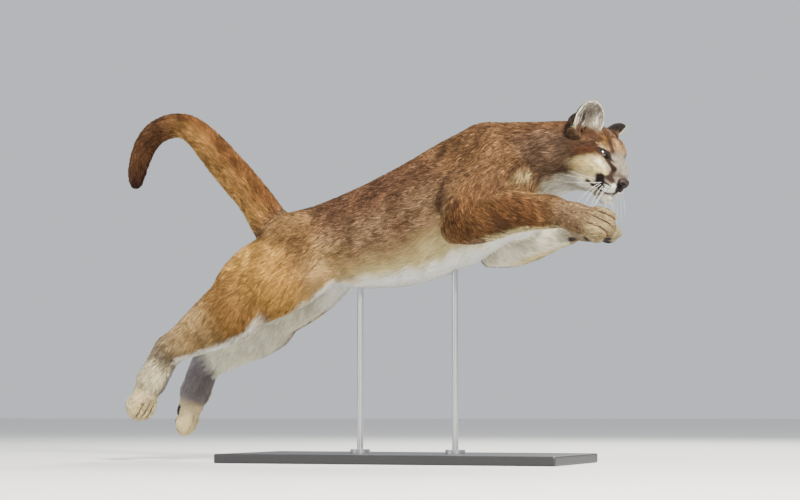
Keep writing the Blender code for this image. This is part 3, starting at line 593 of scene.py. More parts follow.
def face_relief(places):
    """How far the face stands out of the plain form, in metres."""
    gap = mouth_gap(places)
    reach, above = eye_reach(places)
    rise = -0.0030 * ramp(gap, 0.0042, 0.0004)
    rise += 0.0012 * ramp(gap, 0.0110, 0.0060) * ramp(gap, 0.0030, 0.0055)
    rise -= 0.0016 * stroke(places, (66, 0, -54), (58, 0, -74), (8, 3, 6), 0.0)
    rise += 0.0010 * ramp(reach, 1.75, 1.35) * ramp(reach, 0.95, 1.2)
    rise -= 0.0012 * ramp(reach, 2.5, 2.1) * ramp(reach, 1.6, 1.9) * (above > 0.002)
    rise -= 0.0014 * stroke(places, (10, 28, -9), (32, 27, -28), (6, 8, 5), 0.0)
    rise += 0.0012 * stroke(places, (-16, 40, 18), (2, 26, 16), (12, 12, 7), 0.0)
    rise -= 0.0010 * stroke(places, (8, 42, -76), (-12, 50, -66), (8, 10, 4), 0.0)
    rise -= 0.0009 * stroke(places, (36, 0, 4), (-20, 0, 52), (20, 6, 20), 0.0)
    return rise


points, normals = coordinates(skin.data)
places = in_frame(HEAD_INVERSE, points)
on_face = np.flatnonzero((places[:, 0] > FACE_START) & (np.linalg.norm(places, axis=1) < 0.16))
points[on_face] += normals[on_face] * face_relief(places[on_face])[:, None]
skin.data.vertices.foreach_set("co", points.astype(np.float32).ravel())
skin.data.update()

for side in (-1, 1):
    bm = bmesh.new()
    upright = Matrix.Rotation(math.radians(90), 4, "Y")
    outline = bmesh.ops.create_circle(bm, cap_ends=True, segments=32, radius=1.0, matrix=upright)
    for vert in outline["verts"]:
        across = vert.co.y
        tall = EYE_OPENING[1] * (1 - 0.35 * across**2) * (0.82 if vert.co.z > 0 else 1.0)
        vert.co = Vector((0.004, across * EYE_OPENING[0], vert.co.z * tall))
    moved = bmesh.ops.extrude_face_region(bm, geom=list(bm.faces))
    tops = [item for item in moved["geom"] if isinstance(item, bmesh.types.BMVert)]
    bmesh.ops.translate(bm, verts=tops, vec=(0.030, 0, 0))
    bmesh.ops.recalc_face_normals(bm, faces=bm.faces)
    bm.transform(HEAD @ eye_frame(side))
    cut(skin, new_object("almond", bm))

for cup in ears:
    cut(skin, cup, "UNION")


# Markings. A coat colour for every point, from the guides, and on the head and the flanks
# from strokes laid on them. Skin and coat share them. Colours are linear.
BROWN_BACK = (0.095, 0.048, 0.026)
RUMP_BROWN = (0.125, 0.072, 0.038)
WITHERS = (0.115, 0.058, 0.025)
FLANK = (0.205, 0.124, 0.066)
FLANK_DARK = (0.085, 0.038, 0.018)
# Painted shade for the creases and folds.
CREASE_SHADE = (0.036, 0.015, 0.009)
SHOULDER = (0.105, 0.055, 0.024)
GOLD = (0.370, 0.200, 0.050)
THIGH = (0.170, 0.088, 0.026)
LOWER_THIGH = (0.320, 0.210, 0.090)
SHANK = (0.120, 0.094, 0.064)
FOREARM = (0.095, 0.042, 0.015)
# Painted light: the lit top edge of the forearm.
ARM_TOP_LIGHT = (0.155, 0.085, 0.032)
SAND = (0.330, 0.240, 0.110)
CREAM = (0.470, 0.390, 0.190)
WHITE = (0.830, 0.790, 0.670)
INNER = (0.640, 0.620, 0.480)
GREY_WHITE = (0.680, 0.660, 0.560)
GREY_BROWN = (0.080, 0.058, 0.046)
RUST = (0.045, 0.018, 0.008)
CROWN = (0.050, 0.024, 0.012)
FOREHEAD = (0.260, 0.160, 0.080)
BRIDGE = (0.200, 0.172, 0.132)
# Painted shadow: the darker side of the neck behind the cheek, where the head's shadow falls.
NECK_SHADOW = (0.085, 0.052, 0.032)
CHARCOAL = (0.150, 0.135, 0.150)
DARK_BROWN = (0.026, 0.014, 0.011)
BLACK = (0.012, 0.009, 0.009)
EAR_CUP = (0.250, 0.215, 0.170)
EAR_SHADE = (0.035, 0.020, 0.018)
FORE_PAW = (0.135, 0.088, 0.048)
HIND_PAW = (0.540, 0.430, 0.240)
HIND_FOOT = (0.500, 0.430, 0.270)
TAIL_TAWNY = (0.300, 0.155, 0.046)
TAIL_TOP = (0.095, 0.038, 0.012)
TAIL_HOOK = (0.042, 0.018, 0.010)
TAIL_UNDER = (0.150, 0.095, 0.060)
TAIL_TIP = (0.024, 0.010, 0.008)


def paint(colours, colour, share):
    """Lays a colour over others by a share from 0 to 1."""
    share = np.clip(share, 0, 1)[:, None]
    return np.asarray(colours) * (1 - share) + np.asarray(colour) * share


def layers(colours, *coats):
    """Lays several (colour, share) over others, one after the other."""
    for colour, share in coats:
        colours = paint(colours, colour, share)
    return colours


def strokes(colours, places, marks, share_scale):
    """Lays a table of marks, each scaled by a share for every place."""
    for colour, start, end, radii, share, hardness in marks:
        colours = paint(colours, colour, stroke(places, start, end, radii, hardness) * share * share_scale)
    return colours


# Colour, start, end, radii, share and hardness of each mark of the face, in millimetres in
# the head's frame.
FACE_MARKS = (
    (CREAM, (-5, 52, -30), (-50, 68, -64), (34, 50, 30), 0.9, 0.3),
    (CREAM, (8, 45, -30), (24, 40, -44), (16, 30, 14), 1.0, 0.4),
    (GOLD, (-22, 70, -40), (-40, 72, -56), (14, 40, 18), 0.50, 0.0),
    (GREY_BROWN, (-30, 60, -88), (-60, 60, -100), (24, 50, 10), 0.25, 0.0),
    (RUST, (-24, 56, -4), (-74, 72, -34), (18, 40, 19), 1.0, 0.35),
    (DARK_BROWN, (-30, 56, 10), (-64, 66, -4), (12, 40, 7), 0.55, 0.0),
    (FOREHEAD, (-2, 14, 30), (16, 4, 14), (22, 20, 22), 0.9, 0.2),
    (GOLD, (-26, 32, 34), (-12, 34, 26), (12, 14, 8), 0.30, 0.0),
    (BRIDGE, (14, 10, 4), (50, 10, -28), (18, 26, 20), 0.95, 0.3),
    (FOREHEAD, (-18, 46, 18), (2, 34, 17), (14, 14, 10), 0.8, 0.0),
    (CREAM, (-12, 42, 16), (0, 36, 14), (10, 12, 5), 0.5, 0.0),
    (DARK_BROWN, (9, 27, 15), (-10, 29.5, 34), (6, 7.5, 7), 0.8, 0.2),
    (WHITE, (0, 52, -20), (12, 46, -28), (9, 20, 6), 0.6, 0.0),
    (DARK_BROWN, (0, 34, -6), (12, 29, -12), (9, 12, 8.5), 1.0, 0.5),
    (DARK_BROWN, (12, 29, -12), (35, 24, -22), (9.5, 13, 9), 1.0, 0.5),
    (DARK_BROWN, (35, 25, -22), (40, 29, -44), (10, 14, 9.5), 1.0, 0.4),
    (GREY_BROWN, (44, 20, -34), (60, 8, -28), (11, 16, 9), 0.75, 0.0),
    (WHITE, (41, 24, -74), (56, 17, -64), (14, 18, 12), 1.0, 0.6),
    (DARK_BROWN, (36, 33, -46), (48, 26, -49), (11, 16, 10.5), 0.95, 0.3),
    (BLACK, (24, 43, -53), (29, 39, -70), (15, 24, 13), 1.0, 0.5),
    (BLACK, (34, 36, -60), (50, 26, -62), (6, 14, 3.4), 0.85, 0.2),
    (BLACK, (34, 35, -69), (48, 27, -70), (6, 14, 3), 0.75, 0.2),
    (BLACK, (63, 11, -40), (59, 6, -62), (8.5, 10, 7), 1.0, 0.6),
    (BLACK, (24, 34, -81), (2, 48, -75), (8, 14, 5.5), 1.0, 0.4),
    (RUMP_BROWN, (-100, 80, 4), (-112, 74, -4), (24, 40, 16), 0.7, 0.0),
    (WHITE, (46, 0, -98), (26, 0, -110), (20, 24, 13), 0.9, 0.4),
)


def head_colours(places):
    """The face: brown crown, a rust band behind the eye, cream cheeks, dark marks and white lips."""
    x, y, z = places.T
    spots = mottle(places, 0.005, 21)
    patches = mottle(places, 0.016, 22)
    colours = layers(
        CROWN,
        (BROWN_BACK, ramp(x, -0.060, -0.100) * 0.7),
        (RUMP_BROWN, ramp(patches, 0.45, 0.80) * 0.6),
        (CREAM, ramp(z + 0.010 * patches, -0.026, -0.046) * ramp(x, -0.100, -0.062)),
        (GREY_WHITE, ramp(z, -0.060, -0.092)),
        (BRIDGE, ramp(x, 0.006, 0.022)),
        # The neck behind the jaw is darkened with painted shadow of the head.
        (NECK_SHADOW, ramp(x, -0.080, -0.104) * ramp(z, -0.125, -0.100)),
    )
    colours = strokes(colours, places, FACE_MARKS, 0.86 + 0.28 * spots)
    reach, above = eye_reach(places)
    # The lids' rim is black skin; it is wider above the eye, as painted shade under the upper lid.
    rim = np.where(above > 0, 1.95, 1.45)
    colours = paint(colours, BLACK, ramp(reach, rim, rim - 0.30))
    colours = paint(colours, BLACK, ramp(mouth_gap(places), 0.0046, 0.0030))
    return colours * (0.60 + 0.50 * spots + 0.32 * patches)[:, None]


def ear_outline(local):
    """How far places of an ear's frame are from its middle, 1 at the rim."""
    return np.hypot(local[:, 1] / EAR_HALF[1], (local[:, 2] - EAR_RISE) / EAR_HALF[2])


def ear_colours(points, colours):
    """Black backs, white rims, and a greyish cup with painted shade towards its outer side."""
    places = in_frame(HEAD_INVERSE, points)
    root = stroke(places, (-100, 80, 30), (-118, 70, 16), (15, 40, 14), 0.3)
    colours = paint(colours, BLACK, root * 0.9)
    for side, inverse in ear_frames.items():
        local = in_frame(inverse, points)
        x, y, z = local.T
        outline = ear_outline(local)
        above = ramp(z, -0.004, 0.008) * ramp(outline, 1.25, 1.12)
        above *= ramp(np.abs(x), 0.055, 0.045)
        hollow = np.sqrt((x - EAR_HOLLOW) ** 2 / EAR_HALF[0] ** 2 + outline**2)
        streak = mottle(local * (1, 1, 0.18), 0.004, 31)
        back = paint(BLACK, CREAM, ramp(x, -0.001, 0.005) * ramp(outline, 0.90, 0.98))
        # Painted shade in the cup, on its outer side.
        shaded = ramp(np.hypot((y * side - 0.014) / 0.015, (z - 0.016) / 0.030), 1.0, 0.4)
        cup = layers(
            EAR_CUP,
            (WHITE, ramp(outline, 0.90, 1.02)),
            (EAR_SHADE, shaded * 0.9),
            (WHITE, ramp(streak, 0.58, 0.80) * 0.75),
        )
        ear = paint(back, cup, ramp(hollow, 1.02, 0.97))
        colours = paint(colours, ear, above)
    return colours


def paw_colours(points, colours):
    """Paws are buff and grey, with painted shade in the creases between the toes, and black pads."""
    pads = np.zeros(len(points))
    for name, (inverse, length, knuckle, spread) in paw_frames.items():
        fore = name.startswith("fore")
        buff, toe_share = (FORE_PAW, 0.30) if fore else (HIND_PAW, 0.45)
        x, y, z = in_frame(inverse, points).T
        inside = ramp(x, -0.035, 0.010) if fore else ramp(x, -0.006, 0.022)
        inside = inside * ramp(np.abs(y), 0.075, 0.060) * ramp(np.abs(z), 0.070, 0.055)
        inside *= ramp(x, length + 0.050, length + 0.030)
        toes = ramp(x, knuckle * 0.9, knuckle * 1.3)
        # Painted shade in the creases between the toes.
        toe_shade = np.zeros(len(points))
        for between in (-0.667, 0.0, 0.667):
            toe_shade = np.maximum(toe_shade, ramp(np.abs(y - between * spread), 0.0040, 0.0010))
        toe_shade *= toes * ramp(x, length - 0.006, length - 0.018)
        under = ramp(z, -0.0160, -0.0205) * ramp(x, knuckle * 0.55, knuckle * 0.75)
        heel = ramp(np.hypot(x - 0.006, y + 0.006), 0.016, 0.012) * ramp(z, -0.030, -0.035) * fore
        pad = inside * np.maximum(under, heel)
        pads = np.maximum(pads, pad)
        colours = layers(
            colours,
            (buff, inside * 0.85),
            (CREAM, inside * toes * (1 - toe_shade) * toe_share),
            (DARK_BROWN, inside * toe_shade * 0.9),
            (BLACK, pad),
        )
    return colours, pads


# Dark folds and soft bands of the flanks and shoulders, in millimetres from the same middle
# as the routes. The dark of the creases and of the bands along the skin's folds is painted shade.
BODY_MARKS = (
    (CREASE_SHADE, (205, 100, 752), (172, 110, 700), (9, 70, 16), 0.75, 0.0),
    (CREASE_SHADE, (172, 120, 700), (156, 120, 640), (12, 70, 20), 0.80, 0.0),
    (FLANK_DARK, (112, 90, 776), (94, 100, 700), (14, 90, 30), 0.60, 0.0),
    (FLANK_DARK, (36, 100, 714), (40, 110, 590), (24, 90, 30), 0.45, 0.0),
    (FLANK_DARK, (100, 110, 640), (50, 110, 600), (18, 90, 16), 0.50, 0.0),
    (FLANK_DARK, (-78, 50, 710), (-74, 100, 635), (16, 80, 30), 0.35, 0.0),
    (FLANK_DARK, (-205, 90, 613), (-243, 120, 520), (12, 80, 20), 0.40, 0.0),
    (CREASE_SHADE, (-172, 90, 533), (-205, 100, 500), (4, 50, 6), 0.85, 0.0),
    (FLANK_DARK, (-205, 100, 500), (-232, 110, 462), (6, 50, 10), 0.70, 0.0),
    (FLANK_DARK, (-110, 90, 546), (-130, 90, 536), (22, 50, 13), 0.55, 0.0),
    (CREASE_SHADE, (340, 100, 764), (356, 100, 745), (3.5, 40, 5), 0.80, 0.0),
    (CREAM, (366, 90, 722), (332, 90, 702), (36, 50, 22), 0.70, 0.0),
)


def height_over(points, row):
    """Height over the guide, in radii."""
    return (points[:, 2] - row[:, 2]) / row[:, 3]


# Each painter takes the points, their normals, the guide's rows and stations there, the body's
# side and two noises. It gives the colours and the share of dark ticking.


def trunk_colours(points, normals, row, station, side, wave, fine):
    height = height_over(points, row)
    ragged = height + 0.16 * wave + 0.12 * fine
    elbow = ramp(np.abs(station - 5.6), 1.3, 0.3)
    nape = ramp(station, 3.0, 1.6)
    pale = ragged - 0.12 * elbow + 0.24 * nape
    outward = normals[:, 1] * np.sign(points[:, 1]) + 0.2 * fine
    groin = ramp(station, 8.2, 9.6) * ramp(outward, 0.25, 0.55)
    trunk = layers(
        FLANK,
        (BROWN_BACK, ramp(ragged, 0.00, 0.55)),
        (RUMP_BROWN, ramp(station, 9.2, 11.0) * 0.8),
        (WITHERS, ramp(ragged, 0.55, 1.0) * ramp(station, 6.6, 4.6)),
        (SHOULDER, ramp(station, 5.6, 4.4) * ramp(station, 1.5, 2.6) * 0.8),
        # The side of the neck under the head is darkened with painted shadow of the head.
        (NECK_SHADOW, nape * ramp(ragged, 0.85, 0.45)),
        (SAND, ramp(pale, -0.28, -0.58) * 0.85),
        (CREAM, ramp(pale, -0.50, -0.80)),
        (WHITE, ramp(height + 0.12 * nape, -0.74, -0.93)),
        (GREY_WHITE, ramp(station, 2.6, 1.2) * ramp(ragged, -0.55, -0.90)),
        (LOWER_THIGH, groin * ramp(ragged, 0.10, -0.20)),
    )
    return trunk, ramp(pale, -0.70, -0.10)


def tail_colours(points, normals, row, station, side, wave, fine):
    under = (points - row[:, :3]) @ np.array((-0.75, 0, -0.66)) / row[:, 3] + 0.3 * wave
    tail = layers(
        TAIL_TAWNY,
        (TAIL_TOP, ramp(under, 0.1, -0.7) * 0.9),
        (CREAM, ramp(under, 0.62, 1.0) * ramp(station, 7.2, 5.8)),
        (TAIL_HOOK, ramp(station + 0.5 * wave, 4.9, 6.9) * 0.9),
        (TAIL_UNDER, ramp(under, 0.3, 1.0) * ramp(station, 6.4, 7.2) * 0.5),
        (TAIL_TIP, ramp(station, 8.6, 10.4) * 0.9),
        (FLANK_DARK, ramp(station, 0.9, 0.3) * 0.6),
    )
    return tail, 0.8


def foreleg_colours(points, normals, row, station, side, wave, fine):
    outer = normals[:, 1] * side + 0.20 * wave
    height = height_over(points, row)
    leg = layers(
        SHOULDER,
        (FOREARM, ramp(station, 1.1, 2.0) * ramp(station, 4.3, 3.4)),
        (SAND, ramp(station, 3.3, 4.2) * 0.14),
        # The top edge of the forearm is lighter, as painted light.
        (ARM_TOP_LIGHT, ramp(height + 0.2 * fine, 0.45, 0.95) * ramp(station, 2.2, 3.0) * 0.9),
        (INNER, ramp(outer, 0.00, -0.35) * ramp(station, 1.4, 2.2)),
        (GREY_BROWN, ramp(outer, -0.4, -0.8) * ramp(wave + fine, 0.0, 0.5) * 0.5),
        (CREAM, ramp(height, -0.74, -0.98) * ramp(station, 2.1, 2.7)),
    )
    return leg, ramp(outer, -0.5, 0.3)


def hindleg_colours(points, normals, row, station, side, wave, fine):
    outer = normals[:, 1] * side + 0.15 * wave
    forward = np.array((0.72, 0, -0.69))
    ahead = (points - row[:, :3]) @ forward / row[:, 3]
    edge = ramp(normals @ forward, 0.50, 0.80) * ramp(outer, 0.80, 0.50)
    edge *= ramp(station, 0.80, 1.15)
    groin = ramp(outer, -0.1, -0.5) * ramp(station, 0.75, 0.35) * ramp(ahead, 0.2, 0.8)
    foot = ramp(outer, 0.45, -0.05) * ramp(station, 1.75, 2.0)
    foot *= ramp(station + 0.3 * wave, 3.50, 3.25)
    leg = layers(
        GOLD,
        (RUMP_BROWN, ramp(station + 0.3 * wave, 0.40, 0.00) * 0.75),
        (THIGH, ramp(station + 0.5 * fine, 0.55, 1.0)),
        (LOWER_THIGH, ramp(station, 1.15, 1.5)),
        (SHANK, ramp(station, 1.6, 2.1)),
        (HIND_FOOT, ramp(station, 2.05, 2.5)),
        (WHITE, edge * ramp(station, 2.1, 1.8)),
        (INNER, ramp(outer, 0.05, -0.25) * ramp(station, 2.3, 1.8)),
        (GREY_BROWN, groin * 0.7),
        (CHARCOAL, foot * ramp(ahead, 1.15, 0.95) * 0.92),
    )
    return leg, ramp(outer, -0.4, 0.3) * 0.7


PAINTERS = {
    "trunk": (trunk_colours, 0),
    "tail": (tail_colours, 0),
    "foreleg_right": (foreleg_colours, -1),
    "foreleg_left": (foreleg_colours, 1),
    "hindleg_right": (hindleg_colours, -1),
    "hindleg_left": (hindleg_colours, 1),
}
BRIGHTEST = 0.88


def body_colours(points, normals, surveyed):
    """(colours, ticking) of all but the head, the ears and the paws."""
    colours = np.zeros((len(points), 3))
    ticking = np.zeros(len(points))
    wave = mottle(points, 0.05, 3) - 0.5
    fine = mottle(points, 0.014, 4) - 0.5
    folds = mottle(points * (1, 1, 0.4), 0.026, 5) - 0.5
    for name, (painter, side) in PAINTERS.items():
        weight, station, row = surveyed[name]
        own, ticked = painter(points, normals, row, station, side, wave, fine)
        colours += weight[:, None] * own
        ticking += weight * ticked
    colours = strokes(colours, points - np.array(SHIFT), BODY_MARKS, 0.8 + fine)
    colours *= (1 + ticking * (0.90 * folds + 0.45 * wave) + 0.40 * fine)[:, None]
    return colours, ticking


def coat_colours(points, normals):
    """(colours, share of dark ticking, share of bare skin) at points of the skin."""
    surveyed = survey(points)
    colours, ticking = body_colours(points, normals, surveyed)
    places = in_frame(HEAD_INVERSE, points)
    on_head = ramp(surveyed["head"][0], 0.25, 0.75)
    colours = paint(colours, head_colours(places), on_head)
    ticked = ramp(places[:, 2], -0.030, 0.010) * ramp(places[:, 0], 0.040, 0.000) * 0.7
    ticked = np.maximum(ticked, 0.28 * ramp(places[:, 0], 0.030, -0.010))
    ticking = ticking * (1 - on_head) + on_head * ticked
    colours = ear_colours(points, colours)
    colours, pads = paw_colours(points, colours)
    reach, _ = eye_reach(places)
    bare = np.maximum(pads, ramp(reach, 1.40, 1.25) * on_head)
    bare = np.maximum(bare, ramp(mouth_gap(places), 0.0042, 0.0032) * on_head)
    return np.clip(colours, 0, BRIGHTEST), ticking, bare


# The skin's colours and finish. What shows of it between the tufts is darker, as painted shade under the
# coat.
SKIN_SHADE = 0.80


def colour_mesh(mesh, colours):
    attribute = mesh.color_attributes.new("Coat", "FLOAT_COLOR", "POINT")
    flat = np.ones((len(colours), 4), np.float32)
    flat[:, :3] = colours
    attribute.data.foreach_set("color", flat.ravel())


def finish_material(name, roughness, specular=0.3, grain=0.0, grain_size=400.0):
    """A Principled material coloured by the mesh, with a fine bump where grain is given."""
    made = bpy.data.materials.new(name)
    made.use_nodes = True
    tree = made.node_tree
    shader = tree.nodes["Principled BSDF"]
    shader.inputs["Roughness"].default_value = roughness
    shader.inputs["Specular IOR Level"].default_value = specular
    source = tree.nodes.new("ShaderNodeAttribute")
    source.attribute_name = "Coat"
    tree.links.new(source.outputs["Color"], shader.inputs["Base Color"])
    if grain:
        place = tree.nodes.new("ShaderNodeTexCoord")
        noise = tree.nodes.new("ShaderNodeTexNoise")
        noise.inputs["Scale"].default_value = grain_size
        noise.inputs["Detail"].default_value = 3.0
        bump = tree.nodes.new("ShaderNodeBump")
        bump.inputs["Strength"].default_value = grain
        bump.inputs["Distance"].default_value = 0.0006
        tree.links.new(place.outputs["Object"], noise.inputs["Vector"])
        tree.links.new(noise.outputs["Fac"], bump.inputs["Height"])
        tree.links.new(bump.outputs["Normal"], shader.inputs["Normal"])
    return made


def smooth_faces(mesh):
    mesh.polygons.foreach_set("use_smooth", [True] * len(mesh.polygons))


points, normals = coordinates(skin.data)
colours, ticking, bare = coat_colours(points, normals)
# The skin is darkened as painted shade under the coat, except where it is bare.
shade = SKIN_SHADE + (1 - SKIN_SHADE) * bare
colour_mesh(skin.data, colours * shade[:, None])
smooth_faces(skin.data)
skin.data.materials.clear()
skin.data.materials.append(finish_material("skin", 0.75, 0.2, 0.5))
FLESH = BODY_NODES + ["head", "ear_left", "ear_right"] + [f"{name}_paw" for name in PAWS]
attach(skin, "root")
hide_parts(*FLESH)


# Coat. Tufts rooted in the skin, laid along it and drawn together in clumps at their tips.
# Each tuft is a closed, tapered spike of four faces.
TUFTS = {
    "coat_head": 49000,
    "coat_ears": 12000,
    "coat_neck": 45000,
    "coat_trunk_right": 49500,
    "coat_trunk_left": 49500,
    "coat_tail": 30000,
    "coat_foreleg_right": 30000,
    "coat_foreleg_left": 27000,
    "coat_hindleg_right": 41000,
    "coat_hindleg_left": 39000,
}
CLUMP_OF = 8
CLUMP_PULL = 0.34
SPLAY = 0.16
ROOT_SINK = 0.0006
SPIKE = np.array((0, 3, 1, 0, 2, 3, 1, 3, 2, 0, 1, 2))
UV_PATCH = 0.003
LEG_TUFT = (0.018, 0.0018)
TUFT_OF = {"head": (0.013, 0.0013), "trunk": (0.022, 0.0021), "tail": (0.024, 0.0020)}
EAR_TUFT = (0.008, 0.0011, 0.0016)
CUP_EXTRA = (0.010, 0.0030)


def ear_places(points):
    """(points in the nearer ear's frame, side, share of the point that is ear)."""
    local, side_of, share = np.zeros_like(points), np.zeros(len(points)), np.zeros(len(points))
    for side, inverse in ear_frames.items():
        here = in_frame(inverse, points)
        part = ramp(here[:, 2], -0.004, 0.008) * (ear_outline(here) < 1.2) * (np.abs(here[:, 0]) < 0.045)
        local = np.where(part[:, None] > 0, here, local)
        side_of = np.where(part > 0, side, side_of)
        share = np.maximum(share, part)
    return local, side_of, share


def label(points, surveyed, ear):
    """The coat piece that each point belongs to."""
    names = list(guides)
    best = np.argmax(np.stack([surveyed[name][0] for name in names]), axis=0)
    pieces = np.empty(len(points), dtype=object)
    side = np.where(points[:, 1] < 0, "right", "left")
    for index, name in enumerate(names):
        here = best == index
        if name == "trunk":
            pieces[here] = np.char.add("coat_trunk_", side[here])
            pieces[here & (surveyed[name][1] < 4.0)] = "coat_neck"
        elif name.startswith("foreleg"):
            pieces[here] = "coat_" + name
            pieces[here & (surveyed[name][1] < 1.55)] = "coat_neck"
        else:
            pieces[here] = "coat_" + name
    pieces[ear > 0.5] = "coat_ears"
    return pieces


def flow_at(points, normals, surveyed, side_of, ear):
    """The lie of the coat, along the skin."""
    flow = sum(weight[:, None] * row[:, 4:7] for weight, _, row in surveyed.values())
    flow[:, 2] -= 0.15 * np.abs(normals[:, 1])
    for side, inverse in ear_frames.items():
        upwards = np.array(inverse.inverted().to_3x3() @ Vector((0.12, 0, 1)))
        here = (side_of == side) * ear
        flow = flow * (1 - here[:, None]) + unit(upwards) * here[:, None]
    turn = (mottle(points, 0.030, 8) - 0.5) * 0.9
    flow = flow + np.cross(normals, flow) * turn[:, None]
    flow -= normals * np.sum(flow * normals, axis=1, keepdims=True)
    return unit(flow)


def unwrap(points, surveyed):
    """UV on one chart for each guide: along it and round it."""
    names = list(guides)
    weights = np.stack([surveyed[name][0] for name in names])
    best = np.argmax(weights, axis=0)
    uv = np.zeros((len(points), 2))
    for index, name in enumerate(names):
        here = best == index
        _, station, row = surveyed[name]
        axis = unit(row[here, 4:7])
        side = unit(np.cross(axis, (0.05, 1, 0.02)))
        other = np.cross(axis, side)
        radial = points[here] - row[here, :3]
        angle = np.arctan2(np.sum(radial * other, axis=1), np.sum(radial * side, axis=1))
        column, level = index % 3, index // 3
        uv[here, 0] = (column + 0.04 + 0.92 * station[here] / (len(guides[name]) - 1)) / 3
        uv[here, 1] = (level + 0.04 + 0.92 * (angle / (2 * math.pi) + 0.5)) / 3
    return uv


def sample(mesh, pieces, counts):
    """Random roots on the faces of each piece, closer on the face: {piece: (points, normals)}."""
    mesh.calc_loop_triangles()
    corners = np.empty(len(mesh.loop_triangles) * 3, np.int32)
    mesh.loop_triangles.foreach_get("vertices", corners)
    corners = corners.reshape(-1, 3)
    points, normals = coordinates(mesh)
    a, b, c = (points[corners[:, index]] for index in range(3))
    area = np.linalg.norm(np.cross(b - a, c - a), axis=1) / 2
    area *= 1 + 1.2 * ramp(in_frame(HEAD_INVERSE, a)[:, 0], -0.06, 0.0)
    found = {}
    for name, count in counts.items():
        own = np.flatnonzero(pieces[corners[:, 0]] == name)
        picked = own[random.choice(len(own), count, p=area[own] / area[own].sum())]
        mix = random.dirichlet((1, 1, 1), count)
        place = sum(mix[:, index, None] * points[corners[picked, index]] for index in range(3))
        facing = sum(mix[:, index, None] * normals[corners[picked, index]] for index in range(3))
        found[name] = (place, unit(facing))
    return found


def tuft_sizes(points, surveyed, local, ear, paw):
    """(length, width, height of the tip over the skin) of the tufts at points."""
    length = sum(surveyed[name][0] * TUFT_OF.get(name, LEG_TUFT)[0] for name in guides)
    width = sum(surveyed[name][0] * TUFT_OF.get(name, LEG_TUFT)[1] for name in guides)
    height = sum(surveyed[name][0] * COAT_DEPTH[name] for name in guides)
    places = in_frame(HEAD_INVERSE, points)
    on_head = surveyed["head"][0]
    muzzle = on_head * ramp(places[:, 0], -0.050, 0.020)
    ruff = on_head * ramp(places[:, 0], -0.040, -0.080) * ramp(places[:, 2], 0.000, -0.040)
    chin = on_head * stroke(places, (42, 0, -100), (22, 0, -110), (18, 26, 16), 0.3)
    reach, _ = eye_reach(places)
    near_eye = ramp(reach, 2.8, 1.4) * on_head
    length *= (1 - 0.55 * muzzle) * (1 + 0.5 * ruff) * (1 + 1.0 * chin)
    length *= (1 - 0.5 * near_eye) * (1 - 0.55 * paw)
    width *= (1 - 0.35 * muzzle) * (1 - 0.30 * paw)
    height = (height * (1 - 0.5 * muzzle) + 0.0045 * chin) * (1 - 0.6 * near_eye)
    height += (PAW_DEPTH - height) * paw
    in_cup = ear * (local[:, 0] > 0.0) * ramp(np.abs(local[:, 1]), 0.030, 0.022)
    length += (EAR_TUFT[0] - length) * ear + CUP_EXTRA[0] * in_cup
    width += (EAR_TUFT[1] - width) * ear
    height += (EAR_TUFT[2] - height) * ear + CUP_EXTRA[1] * in_cup
    weight, _, row = surveyed["trunk"]
    low = weight * ramp(height_over(points, row), -0.70, -0.95)
    return length * (1 + 0.40 * low), width, height + 0.0040 * low


def clumps(root):
    """For each tuft, the one that its clump gathers round."""
    count = len(root)
    centres = random.choice(count, max(1, count // CLUMP_OF), replace=False)
    tree = KDTree(len(centres))
    for index, centre in enumerate(centres):
        tree.insert(root[centre], index)
    tree.balance()
    return np.array([centres[tree.find(place)[1]] for place in root])


def tuft_shades(colours, ticking, clump):
    """Linear colours of the root's two corners, the back and the tip of every tuft."""
    count = len(colours)
    bright = np.exp(random.normal(0, 1, count)[clump] * (0.05 + 0.24 * ticking))
    bright *= np.exp(random.normal(0, 1, count) * (0.07 + 0.34 * ticking))
    dark = np.clip(random.uniform(-0.35, 1.0, count), 0, 1) * ticking
    shades = np.empty((count, 4, 3))
    # The root's corners are darker: a darker undercoat, and painted shade down among the tufts.
    shades[:, :2] = (colours * (0.60 - 0.25 * ticking)[:, None])[:, None]
    shades[:, 2] = colours * bright[:, None] * 1.05
    shades[:, 3] = paint(colours * bright[:, None] * 1.40, DARK_BROWN, dark)
    return np.clip(shades, 0, 0.9).reshape(-1, 3)


